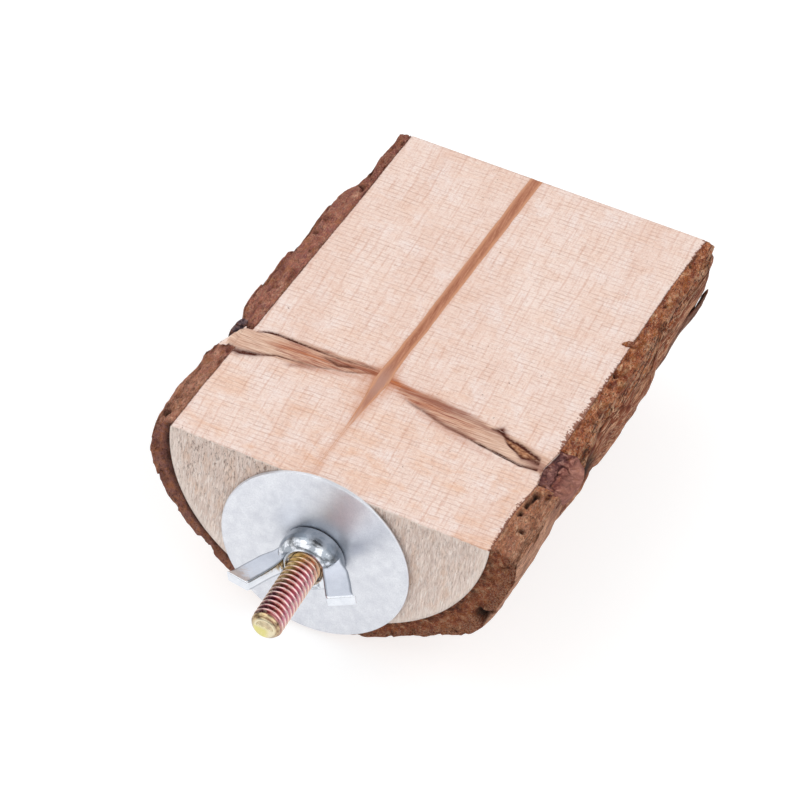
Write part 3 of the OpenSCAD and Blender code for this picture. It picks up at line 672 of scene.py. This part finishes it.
# Middle and half width of the crack round the log: it opens to a notch where each branch comes through
def crackAt(phi):
    side = phi / np.pi
    middle = bark["rightCrack"] * (1 - side) + bark["leftCrack"] * side
    ragged = 1.6 * (alongOnly(phi * 32, 5, 81, 3) - 0.5)
    deep = log["depth"] * np.sin(phi)
    room = np.where(phi < np.pi / 2, 5.3, 3.3)
    notch = np.sqrt(np.maximum(room ** 2 - deep ** 2, 0))
    return middle + ragged * smooth(0, 3, deep - 2), bark["crack"] / 2 + notch


barkFace, seen = material("barkCrust", grainTurn, ("Y", "upper", "shade", "pit"))
# Weathered pinkish brown plates with dark furrows along the log and pale fibres on their edges
plates = streaks((2.0, 7, 2.0), 0.38, 0.62, 7, 0.72, 0.6)
base = add("ValToRGB", [plates], [(0.0, "#4C2015"), (0.3, "#904A32"), (0.6, "#BC7250"), (1.0, "#F0B890")])
grain = streaks((0.28, 3, 0.28), 0.46, 0.62, 5, 0.7)
base = tinted(base, "#D8AC8C", 0.5, grain)
splitFibre = streaks((0.34, 14, 0.34), 0.53, 0.6, 4, 0.6, 0.4)
base = tinted(base, "#EDBF9C", 0.7, splitFibre)
# Lighter towards the front: painted light against the shade of the furrowed front
base = tinted(base, "#EBB89C", 0.5, add("MapRange", (seen["Y"], 28, 12)))
# Redder just below the deck at the right, with long pale fibres
base = tinted(base, "#8C4228", 0.75, seen["upper"], add("MapRange", (plates, 0, 1, 1, 0.55)))
base = tinted(base, "#EDBE9A", 0.95, seen["upper"], splitFibre)
darkLines = streaks((0.5, 5, 0.5), 0.54, 0.64, 5, 0.65, 0.5)
base = tinted(base, "#3A1F18", 0.75, darkLines)
base = tinted(base, "#7C443A", 0.4, streaks((4, 7, 4), 0.48, 0.68, 2))
base = tinted(base, "#6A3A30", 0.5, streaks((0.35, 0.5, 0.35), 0.56, 0.7, 3))
base = tinted(base, "#4C2B27", 0.6, seen["shade"])
# Painted shade in the pits and hollows
base = tinted(base, "#24130F", 0.93, seen["pit"])
finish(base, 0.88, [(plates, 0.8, 0.6), (grain, 0.6, 0.22), (darkLines, -0.5, 0.3)], **dull)

barkCut, seen = material("sawnBark", grainTurn, ("Y", "deep", "left", "front", "pit"))
# Fibrous red-brown where the saw went through the bark, speckled with dark pits and short pale fibres
body = streaks((1.1, 2.4, 1.1), 0.38, 0.62, 7, 0.78, 0.5)
base = add("ValToRGB", [body], [(0.0, "#742E1A"), (0.35, "#C66A48"), (0.65, "#E99466"), (1.0, "#FFD0A6")])
fibre = streaks((0.24, 1.5, 0.24), 0.52, 0.64, 5, 0.7, 0.4)
base = tinted(base, "#E0AE88", 0.55, fibre)
base = tinted(base, "#4F2217", 0.8, streaks((0.3, 0.7, 0.3), 0.55, 0.63, 4, 0.75, 0.3))
base = tinted(base, "#3E1A10", 0.6, streaks((0.22, 0.4, 0.22), 0.56, 0.62, 3, 0.7))
base = tinted(base, "#F2BE98", 0.5, streaks((0.2, 0.5, 0.2), 0.58, 0.66, 3, 0.7))
base = tinted(base, "#C0702E", 0.5, streaks((1.3, 2.2, 1.3), 0.5, 0.66, 3))
base = tinted(base, "#6E3034", 0.55, streaks((1.8, 3, 1.8), 0.53, 0.68, 3))
pitMarks = streaks((0.6, 0.8, 0.6), 0.63, 0.69, 4, 0.65)
base = tinted(base, "#2B120C", 0.85, pitMarks)
base = tinted(base, "#FFE2CA", 0.75, streaks((0.24, 0.3, 0.24), 0.63, 0.69, 2))
# Long pale and dark fibres in the outer half of the right side
outer = add("Math", (add("MapRange", (seen["deep"], 0.5, 0.75)), add("MapRange", (seen["left"], 1, 0))),
            operation="MULTIPLY")
base = tinted(base, "#DDB294", 0.85, outer, streaks((0.3, 9, 0.3), 0.49, 0.57, 4, 0.6, 0.3))
base = tinted(base, "#4A2A22", 0.85, outer, streaks((0.34, 12, 0.34), 0.53, 0.59, 4, 0.6, 0.3))
base = tinted(base, "#D48E88", 0.46, seen["left"])
# Dark patches against the wood
innerPart = add("MapRange", (seen["deep"], 0.14, 0.02))
base = tinted(base, "#3A1E16", 0.6, innerPart, streaks((1.5, 4, 1.5), 0.5, 0.62, 3))
# Warmer and lighter ahead of the branches, with dark and pale flecks; the lightening is painted light against the shade
# of the rough front
ahead = add("Math", (add("MapRange", (seen["Y"], 27, 16)), add("MapRange", (seen["front"], 1, 0))),
            operation="MULTIPLY")
# Painted light lifting the shade of the rough front
base = tinted(base, "#E8A584", 0.42, ahead)
base = tinted(base, "#54281A", 0.6, ahead, streaks((0.35, 1.0, 0.35), 0.52, 0.62, 4, 0.72, 0.3))
base = tinted(base, "#F6D4B6", 0.55, ahead, streaks((0.26, 0.9, 0.26), 0.56, 0.64, 3, 0.7))
# Spotted, ochre and pale on the left side, darker at its rear
base = tinted(base, "#46241C", 0.5, seen["left"], streaks((0.8, 1.3, 0.8), 0.51, 0.63, 5, 0.74, 0.4))
base = tinted(base, "#D08448", 0.4, seen["left"], streaks((1.4, 3, 1.4), 0.52, 0.64, 4, 0.65))
base = tinted(base, "#F0C0A0", 0.5, seen["left"], streaks((0.34, 0.7, 0.34), 0.54, 0.64, 3, 0.7))
base = tinted(base, "#70382C", 0.35, seen["left"], add("MapRange", (seen["Y"], 70, 88)))
# The front end is browner, its left part grey and ochre with a dark outside, and dark beside the wood
base = tinted(base, "#6E3A28", 0.45, seen["front"])
leftEnd = add("Math", (seen["front"], seen["left"]), operation="MULTIPLY")
base = tinted(base, "#A8807E", 0.3, leftEnd)
base = tinted(base, "#C07848", 0.6, leftEnd, streaks((1.1, 1.4, 1.1), 0.46, 0.6, 5, 0.72, 0.5))
base = tinted(base, "#3A1C15", 0.72, leftEnd, add("MapRange", (seen["deep"], 0.45, 0.1)))
base = tinted(base, "#35180F", 0.6, leftEnd, streaks((0.5, 0.6, 0.5), 0.54, 0.64, 4, 0.7))
besideWood = streaks((1.2, 1.2, 1.2), 0.42, 0.56, 4)
base = tinted(base, "#381B14", 0.75, add("MapRange", (seen["deep"], 0.35, 0.05)), seen["front"], besideWood)
# Painted shade in the pits and hollows
base = tinted(base, "#1E100C", 0.95, seen["pit"])
finish(base, 0.9, [(body, 0.9, 0.6), (fibre, 0.7, 0.25), (pitMarks, -0.6, 0.3)], **dull)


# A patch of the bark with its marks: painted shade in pits and hollows, how deep in the bark it lies, the front end,
# and its side
def barkPatch(phi, share, t, flip, index):
    phi, share, t = np.broadcast_arrays(phi, share, t)
    plain = woodPoint(phi, share, t * barkThickness(phi, share * log["length"]))
    marks = {
        "pit": barkHoleShade(phi, plain[..., 1] - log["face"], plain),
        "deep": t + 0.12 * (noise(plain, (0.8, 1.6, 0.8), 77) - 0.5),
        "front": smooth(1.2, 0.0, share * log["length"]),
        "left": smooth(1.4, 2.4, phi),
        "upper": np.exp(-((phi / 0.32) ** 2)) * smooth(26, 34, plain[..., 1]),
    }
    return barkPoint(phi, share, t), flip, index, marks


u = np.linspace(0, 1, bark["round"])
phi = np.pi * (u - 0.62 * np.sin(2 * np.pi * u) / (2 * np.pi))
middle, halfGap = crackAt(phi)
layersT = smooth(0, 1, np.linspace(0, 1, bark["capRows"]))
lengths = {
    "barkFront": ("bark_front", np.zeros_like(phi), (middle - halfGap) / log["length"]),
    "barkRear": ("bark_rear", (middle + halfGap) / log["length"], np.ones_like(phi)),
}
for name, (node, low, high) in lengths.items():
    rowCount = int(np.max(high - low) * log["length"] / bark["rowStep"])
    share = low[:, None] + (high - low)[:, None] * np.linspace(0, 1, rowCount)
    patches = [
        barkPatch(phi[:, None], share, 1.0, False, 0),
        barkPatch(phi[:, None], share, 0.0, True, 1),
        barkPatch(0.0, share[:1], layersT[:, None], True, 1),
        barkPatch(np.pi, share[-1:], layersT[:, None], False, 1),
        barkPatch(phi[:, None], low[:, None], layersT, True, 1),
        barkPatch(phi[:, None], high[:, None], layersT, False, 1),
    ]
    if name == "barkRear":
        # Splinter of bark torn over the edge of the deck
        turn, run = np.linspace(0, 2 * np.pi, 17)[:, None], np.linspace(0, 1, 16)
        r = 1.05 * np.sqrt(np.clip(1 - run ** 2, 0, 1)) * (0.8 + 0.4 * alongOnly(run * 9, 1, 79))
        splinter = np.stack([36.0 - 3.0 * run + 0 * turn, 66.9 - 1.4 * run + r * np.cos(turn) + log["face"],
                             log["deck"] + 0.1 + 0.45 * r * np.sin(turn)], -1)
        splinter[..., 2] += 0.3 * (layered(splinter, (0.8, 0.5, 0.8), 2, 78) - 0.5) * (run > 0) * (run < 1)
        patches.append((capped(splinter), False, 1, {"deep": 0.5}))
    gridPiece(name, patches, [barkFace, barkCut], "perch", node)

# Loose flake: a thin strip that lies on the bark and peels off at its rear end
flake = {"start": 69.5, "end": 98.2, "phi": 14.0, "radius": 33, "height": 6.2, "thick": 0.9, "lift": 0.7, "sink": 0.35}
along = np.linspace(0, 1, 100)
turn = np.linspace(0, 2 * np.pi, 29)[:, None]
yFlake = flake["start"] + (flake["end"] - flake["start"]) * along
halfHeight = np.interp(along, [0, 0.1, 0.35, 0.7, 0.9, 0.97, 1], [0.02, 0.5, 0.95, 1, 0.7, 0.4, 0.02])
halfHeight = flake["height"] / 2 * halfHeight * (1 + 0.4 * (alongOnly(yFlake, 2.2, 91, 2) - 0.5))
phiFlake = math.radians(flake["phi"]) - np.sin(turn) * halfHeight / flake["radius"]
bare = woodPoint(phiFlake, yFlake / log["length"] + 0 * turn)
ends = np.interp(along, [0, 0.08, 0.94, 1], [0.1, 1, 0.85, 0.05])
lift = barkThickness(phiFlake, yFlake + 0 * turn) - flake["sink"] * smooth(0.8, 0.4, along) + flake["lift"] * along ** 3
lift = lift + flake["thick"] / 2 * (1 + np.cos(turn) * ends) + 0.5 * (layered(bare, (1.1, 6, 1.1), 2, 93) - 0.5)
strip = woodPoint(phiFlake, yFlake / log["length"] + 0 * turn, lift)
gridPiece("barkFlake", [(capped(strip), False, 0, {"shade": 1.0})], [barkFace], "perch", "bark_flake")
print("log made")


# Radius of a thread: from root to crest by a rounded V at the given lead, right-handed, held under an outline
def threadRadius(ys, theta, crest, root, lead, outline):
    phase = np.mod(ys / lead + theta / (2 * np.pi), 1.0)
    tooth = np.clip(1.16 - 2.5 * np.abs(phase - 0.5), 0, 1)
    tooth = 0.6 * tooth + 0.4 * tooth * tooth * (3 - 2 * tooth)
    return np.minimum(root + (crest - root) * tooth, np.interp(ys, *outline))


# A grid round the bolt's axis: at angle theta, a radius and a place along y for each row
def turned(r, ys, theta):
    return np.stack([r * np.sin(theta), ys + 0 * theta + 0 * r, r * np.cos(theta)], -1)


# Hanger bolt: rolled machine thread outside, wood screw inside
bolt = {"tip": -22.95, "crest": 3.16, "root": 2.45, "lead": 1.27, "columns": 97, "chamfer": 2.2, "step": 0.085,
        "threadEnd": 3.0, "lagFrom": 4.0, "lagTo": 28.4, "lagStep": 0.16, "lagCrest": 2.75, "lagRoot": 1.95,
        "lagLead": 2.54}
theta = np.linspace(0, 2 * np.pi, bolt["columns"])[:, None]
chamfer = bolt["tip"] + np.linspace(0, bolt["chamfer"], 30)
ys = np.concatenate([chamfer, np.arange(bolt["tip"] + 2.28, bolt["threadEnd"], bolt["step"])])
outline = (bolt["tip"] + np.array([0, 0.08, 0.3, 0.7, 1.3, 28]), [1.85, 2.05, 2.35, 2.75, 3.1, bolt["crest"]])
firstTurn = smooth(bolt["tip"] + 0.5, bolt["tip"] + 1.6, ys)
r = threadRadius(ys, theta, bolt["crest"], bolt["root"], bolt["lead"], outline)
r = np.interp(ys, *outline) * (1 - firstTurn) + r * firstTurn
threaded = turned(r, ys, theta)
# The tip's flat end keeps a small ledge where the bar was cut off
ringR = np.linspace(0, 1, 34)
disc = turned(ringR * r[:, :1], bolt["tip"] + 0 * ringR, theta)
ledge = smooth(-0.08, 0.08, disc[..., 2] - 0.25 + 0.15 * disc[..., 0])
ledge = ledge * smooth(1.84, 1.6, np.hypot(disc[..., 0], disc[..., 2]))
disc[..., 1] += 0.2 * ledge
lagYs = np.arange(bolt["lagFrom"], bolt["lagTo"], bolt["lagStep"])
lagOutline = ([3.9, 4.4, 21, 27.6, 28.0], [3.12, 2.75, 2.75, 0.9, 0.02])
lag = turned(threadRadius(lagYs, theta, bolt["lagCrest"], bolt["lagRoot"], bolt["lagLead"], lagOutline), lagYs, theta)
bridge = threaded[:, -1:] + (lag[:, :1] - threaded[:, -1:]) * np.linspace(0, 1, 6)[None, :, None]
point = lag[:, -1:] * np.array([[[1, 1, 1]], [[0, 1, 0]]]).transpose(1, 0, 2)
boltGrids = [threaded, disc, bridge, lag, point]

goldZinc, seen = material("yellowChromateZinc", 0.0, ("X", "Y", "Z"))
# Chromate film over rolled steel, coloured by the angle round the axis: pink and orange crests, gold near nut and tip;
# its dark plum side is a painted dark reflection, the plum in the grooves is painted shade, and the crests carry a
# painted highlight
sweep = add("Math", (seen["X"], seen["Z"]), operation="ARCTAN2")
drift = streaks((2.2, 4.5, 2.2), 0.3, 0.7, 3, 0.6, 0.4)
filmAndReflection = add("Math", (drift, 0.1, add("MapRange", (sweep, -math.pi, math.pi))), operation="MULTIPLY_ADD")
# Colour round the axis: the film's own tint, with a painted dark reflection towards the plum side
base = add("ValToRGB", [filmAndReflection], [
    (0.0, "#C8A578"), (0.28, "#D2B48E"), (0.38, "#C9A292"), (0.47, "#C48688"), (0.54, "#D27478"), (0.6, "#E4A098"),
    (0.68, "#F2C4C8"), (0.8, "#EECBB4"), (1.0, "#C8A578")])
# Painted shade for the grooves, in the colours of the film
grooveShade = add("ValToRGB", [filmAndReflection], [
    (0.0, "#7A5A3C"), (0.27, "#5E3C34"), (0.35, "#380F24"), (0.45, "#4A1424"), (0.52, "#6C1C2A"), (0.59, "#903638"),
    (0.68, "#B86A7E"), (0.8, "#AE7484"), (1.0, "#7A5A3C")])
# Square of the distance from the axis: 6.0 in the roots, 10.0 on the crests
square = add("Math", (seen["X"], 2), operation="POWER")
square = add("Math", (seen["Z"], seen["Z"], square), operation="MULTIPLY_ADD")
# Painted shade in the grooves
base = tinted(base, grooveShade, 0.9, add("MapRange", (square, 9.7, 8)))
# Painted highlight along the crests
base = tinted(base, "#FCEEEA", 0.9, add("MapRange", (square, 9.25, 9.9)))
shadeSide = add("MapRange", (seen["X"], 0.7, -1.3))
base = tinted(base, "#2C0C1A", 0.72, shadeSide, add("MapRange", (square, 9.9, 8.2)))
goldSide = add("MapRange", (seen["X"], 0.5, -1.5))
base = tinted(base, "#C2A35C", 0.6, goldSide, add("MapRange", (seen["Y"], -15, -7)))
base = tinted(base, "#C9A465", 0.6, add("MapRange", (seen["Y"], -8, -4.5)))
worn = tinted("#CDB68C", "#7E6448", 1, streaks((1.2, 0.35, 1.2), 0.42, 0.62, 4))
base = tinted(base, worn, 0.9, add("MapRange", (seen["Y"], -21.3, -22)))
tipDisc = add("MapRange", (seen["Y"], -22.6, -22.9))
base = tinted(base, "#E9DFC0", 0.85, tipDisc)
lower, rightPart = add("MapRange", (seen["Z"], 0.5, -0.4)), add("MapRange", (seen["X"], 1.2, 0.2))
base = tinted(base, "#DAD27A", 0.75, tipDisc, lower, rightPart)
base = tinted(base, "#EFE4C8", 0.3, streaks((0.8, 0.5, 0.8), 0.52, 0.72, 3))
finish(base, 0.24, [(streaks((0.2, 0.2, 0.2), 0.3, 0.7, 2), 0.12, 0.03)], 1.0)
gridPiece("hangerBolt", [(grid, False, 0, {}) for grid in boltGrids], [goldZinc], "perch", "hanger_bolt")


# Washer: stamped disc whose hole is on the bolt's axis while the disc itself hangs a little off it
washerSize = {"hole": 4.1, "outside": 19.0, "face": 0.46, "rearFace": 0.04, "rounding": 0.14}


def washer(name, node, body, centre, back, dish, metal, skew):
    theta = np.linspace(0, 2 * np.pi, 181)[:, None]
    unit = np.stack([np.sin(theta), 0 * theta, np.cos(theta)], -1)
    hole, disc = washerSize["hole"] * unit, washerSize["outside"] * unit + np.array([centre[0], 0, centre[1]])
    mid = np.linspace(0.1, 14.9, 44) / 15
    s = np.concatenate([[0, 0.04 / 15], mid, [1 - 0.04 / 15, 1]])
    lift = np.concatenate([[washerSize["rounding"], 0.04], 0 * mid, [0.04, washerSize["rounding"]]])
    face = hole + (disc - hole) * s[None, :, None]
    radius = np.hypot(face[..., 0], face[..., 2])
    wave = dish * (np.cos(np.clip(radius / washerSize["outside"], 0, 1) * np.pi) * 0.5 + 0.5)
    wave = wave + skew * (layered(face, (15, 15, 15), 2, 99) - 0.5) * smooth(5, 12, radius)
    frontFace, backFace = face.copy(), face.copy()
    frontFace[..., 1] = back - washerSize["face"] + lift + wave
    backFace[..., 1] = back - washerSize["rearFace"] - lift + np.minimum(wave, 0.0)
    across = np.linspace(0, 1, 4)[None, :, None]
    rimOuter = frontFace[:, -1:] + (backFace[:, -1:] - frontFace[:, -1:]) * across
    rimInner = frontFace[:, :1] + (backFace[:, :1] - frontFace[:, :1]) * across
    gridPiece(name, [
        (frontFace, False, 0, {}),
        (backFace, True, 0, {}),
        (rimOuter, False, 0, {}),
        (rimInner, True, 0, {}),
    ], [metal], body, node)


satinZinc, _ = material("satinZincPlate")
# Cool pale zinc with a faint cloudy spangle and fine specks
cloud = streaks((2.2, 2.2, 2.2), 0.3, 0.7, 6, 0.65, 0.3)
base = tinted("#ECEEF3", "#D4D6DE", 0.8, cloud)
speck = streaks((0.3, 0.3, 0.3), 0.64, 0.78, 2)
base = tinted(base, "#9EA4AD", 0.4, speck)
grit = streaks((0.2, 0.2, 0.2), 0.35, 0.65, 3, 0.7)
base = tinted(base, "#A4A9B3", 0.28, grit)
sheen = add("MapRange", (cloud, 0, 1, 0.3, 0.4))
finish(base, sheen, [(cloud, 0.12, 0.05), (speck, 0.15, 0.03), (grit, 0.12, 0.02)], 1.0)
washer("innerWasher", "inner_washer", "perch", (-0.25, -0.65), 0.5, 0.0, satinZinc, 0.0)
washer("outerWasher", "outer_washer", "outer_washer", (0.0, -0.4), 0.0, 0.12, satinZinc, 0.05)

# Wing nut: a domed hub and two wings whose sections are rectangles with rounded corners
nut = {
    "angle": math.radians(15), "base": -0.5, "bore": 3.2, "corner": 0.32, "half": 1.1, "rootSwell": 0.65,
    "hubR": [3.2, 3.4, 6.1, 6.33, 6.34, 6.1, 5.6, 5.0, 4.45, 4.1, 3.85, 3.6, 3.2],
    "hubH": [0.3, 0, 0, 0.25, 2.1, 3.1, 3.9, 4.45, 4.75, 4.83, 4.75, 4.35, 3.8],
    "outerR": [4.2, 6.0, 6.9, 8.8, 10.65, 12.1, 13.2], "outerH": [0.9, 1.1, 2.5, 4.1, 7.0, 9.6, 10.6],
    "innerR": [3.6, 4.3, 5.2, 6.4, 7.5, 8.2], "innerH": [3.6, 5.6, 7.3, 9.5, 11.5, 12.5],
}
brightZinc, seen = material("brightZincCasting", 0.0, ("flank", "dome"))
# Bright plated casting with soft ripples under the plate; painted dark reflections on the hub's side, in patches on its
# dome and along the wings' corners
ripple = streaks((2.0, 2.0, 2.0), 0.3, 0.7, 4, 0.55, 0.3)
base = tinted("#E9ECF2", "#CFD5DE", 0.5, ripple)
# Painted dark reflection on the hub's side and along the wings' corners
base = tinted(base, "#6D757F", 0.75, seen["flank"])
# Painted dark reflection in patches on the dome
base = tinted(base, "#7E8791", 0.75, seen["dome"], streaks((1.6, 1.6, 1.6), 0.47, 0.56, 3))
finish(base, add("MapRange", (ripple, 0, 1, 0.12, 0.22)), [(ripple, 0.3, 0.1)], 1.0)


# Nut coordinates (across, height above the washer, side) to the frame
def nutPlace(across, height, side):
    c, s = math.cos(nut["angle"]), math.sin(nut["angle"])
    return np.stack([across * c - side * s, nut["base"] - height, across * s + side * c], -1)


# Resamples a broken line by its length, with its corners eased
def eased(r, h, count, ease):
    size = np.concatenate([[0], np.cumsum(np.hypot(np.diff(r), np.diff(h)))])
    place = np.linspace(0, size[-1], count)
    reach = np.array([-1, -0.5, 0, 0.5, 1]) * ease
    r = sum(np.interp(place + e, size, r) for e in reach) / 5
    h = sum(np.interp(place + e, size, h) for e in reach) / 5
    return r, h


theta = np.linspace(0, 2 * np.pi, 145)[:, None]
hubR, hubH = eased(nut["hubR"], nut["hubH"], 100, 0.18)
hubR[0] = hubR[-1] = nut["bore"]
hub = nutPlace(hubR * np.cos(theta), hubH + 0 * theta, hubR * np.sin(theta))
boreH = np.linspace(hubH[-1], hubH[0], 12)
bore = nutPlace(nut["bore"] * np.cos(theta) + 0 * boreH, boreH + 0 * theta, nut["bore"] * np.sin(theta) + 0 * boreH)
hubMarks = {"flank": smooth(5.75, 6.15, hubR) + 0 * theta, "dome": smooth(3.6, 4.2, hubR) + 0 * theta}
patches = [(hub, True, 0, hubMarks), (bore, True, 0, {})]

# A wing runs between an outer and an inner line, thicker at its root
outerR, outerH = eased(nut["outerR"], nut["outerH"], 90, 0.35)
innerR, innerH = eased(nut["innerR"], nut["innerH"], 90, 0.2)
steps = np.linspace(0, 1, 90)
halfT = nut["half"] + nut["rootSwell"] * np.exp(-((steps / 0.3) ** 2))
# Section of a wing: a box whose corners are quarter circles, with a point on the flat beside each
quarter = np.concatenate([[0], np.linspace(0, np.pi / 2, 7), [np.pi / 2]])
beside = np.concatenate([[-0.25], np.zeros(7), [0.25]])
corner = nut["corner"]
tipTurn = np.linspace(0, np.pi / 2, 7)
toOuter = np.stack([outerR - innerR, outerH - innerH])
reach = np.hypot(*toOuter) / 2
toOuter = toOuter / (2 * reach)
endways = np.array([-toOuter[1, -1], toOuter[0, -1]])
middles = np.stack([outerR + innerR, outerH + innerH]) / 2
# The last sections round the tip off
middles = np.concatenate([middles[:, :-4], middles[:, -1:] - endways[:, None] * corner * (1 - np.sin(tipTurn))], 1)
toOuter = np.concatenate([toOuter[:, :-4], np.repeat(toOuter[:, -1:], 7, 1)], 1)
reach = np.concatenate([reach[:-4], reach[-1] - corner * (1 - np.cos(tipTurn))])
thick = np.concatenate([halfT[:-4], halfT[-1] - corner * (1 - np.cos(tipTurn))])
wide, side = [], []
for k, (sx, sy) in enumerate(((1, 1), (-1, 1), (-1, -1), (1, -1))):
    for bend, step in zip(quarter + k * np.pi / 2, beside):
        wide.append(sx * (reach - corner) + corner * math.cos(bend) - step * math.sin(bend))
        side.append(sy * (thick - corner) + corner * math.sin(bend) + step * math.cos(bend))
wide, side = np.array(wide + wide[:1]), np.array(side + side[:1])
inward = np.array([0.85, 0.5, 0])
wide = np.concatenate([wide, wide[:, -1:] * inward], 1)
side = np.concatenate([side, side[:, -1:] * inward], 1)
middles = np.concatenate([middles, np.repeat(middles[:, -1:], 3, 1)], 1)
toOuter = np.concatenate([toOuter, np.repeat(toOuter[:, -1:], 3, 1)], 1)
across, height = middles[:, None] + toOuter[:, None] * wide
# Painted dark reflection along the rounded corners
cornerReflection = np.append(np.tile(np.interp(np.arange(9), [0, 1, 4, 7, 8], [0, 0.7, 1, 0.7, 0]), 4), 0)
cornerReflection = cornerReflection[:, None] * (np.arange(across.shape[1]) < len(outerR) - 6)
wingMarks = {"flank": np.pad(cornerReflection, ((0, 0), (1, 1)))}
for sign in (1, -1):
    patches.append((capped(nutPlace(sign * across, height, side)), sign < 0, 0, wingMarks))
gridPiece("wingNut", patches, [brightZinc], "wing_nut", "wing_nut")
print("fittings made")

# Floor, lights and camera
floorZ = cadSize[0][2]
mesh = bpy.data.meshes.new("studioFloor")
mesh.from_pydata([(-4, -4, floorZ), (4, -4, floorZ), (4, 4, floorZ), (-4, 4, floorZ)], [], [(0, 1, 2, 3)])
floor = bpy.data.objects.new("studioFloor", mesh)
bpy.context.scene.collection.objects.link(floor)
paper, _ = material("studioPaper")
finish((0.4, 0.4, 0.4, 1), 0.9, **{
    "Specular IOR Level": 0.0, "Emission Color": (1, 1, 1, 1), "Emission Strength": 0.7})
mesh.materials.append(paper)

world = bpy.data.worlds.new("studio")
bpy.context.scene.world = world
world.use_nodes = True
making["tree"] = world.node_tree
world.node_tree.nodes.clear()
height = add("SeparateXYZ", [add("TexCoord", out="Generated")], out="Z")
glow = add("ValToRGB", [height], [
    (0.0, 0.45), (0.1, 0.6), (0.16, 0.2), (0.24, 0.2), (0.32, 1.0), (0.89, 1.0), (0.93, 0.12), (1.0, 0.12)])
add("OutputWorld", {"Surface": add("Background", {"Color": glow, "Strength": 1.21})})

softboxes = {
    "keySoftbox": {"at": (-0.35, -0.1, 0.75), "size": 0.6, "power": 0.8},
    "fillSoftbox": {"at": (0.6, -0.5, 0.5), "size": 0.7, "power": 0.5},
}
for name, spec in softboxes.items():
    light = bpy.data.lights.new(name, "AREA")
    light.shape = "SQUARE"
    light.size = spec["size"]
    light.energy = spec["power"]
    lamp = bpy.data.objects.new(name, light)
    lamp.location = spec["at"]
    away = -lamp.location
    lamp.rotation_euler = away.to_track_quat("-Z", "Y").to_euler()
    bpy.context.scene.collection.objects.link(lamp)

# Camera at the photo's viewing angle: azimuth, elevation and roll in degrees
view = {"azimuth": 16.81, "elevation": 42.37, "roll": 9.84, "at": (0.174405, -0.540582, 0.559098), "lens": 193.5}
a, e, roll = (math.radians(view[k]) for k in ("azimuth", "elevation", "roll"))
right = np.array([math.cos(a), math.sin(a), 0])
backward = np.array([math.sin(a) * math.cos(e), -math.cos(a) * math.cos(e), math.sin(e)])
up = np.cross(backward, right)
right, up = math.cos(roll) * right + math.sin(roll) * up, math.cos(roll) * up - math.sin(roll) * right
camera = bpy.data.cameras.new("photoCamera")
camera.lens = view["lens"]
camera.sensor_width = 36
camera.clip_start = 0.01
viewer = bpy.data.objects.new("photoCamera", camera)
axes = Matrix([[*row, 0] for row in np.stack([right, up, backward], 1).tolist()] + [[0, 0, 0, 1]])
viewer.matrix_world = Matrix.Translation(view["at"]) @ axes
bpy.context.scene.collection.objects.link(viewer)
bpy.context.scene.camera = viewer
bpy.context.scene.view_settings.view_transform = "Standard"

print("scene made")
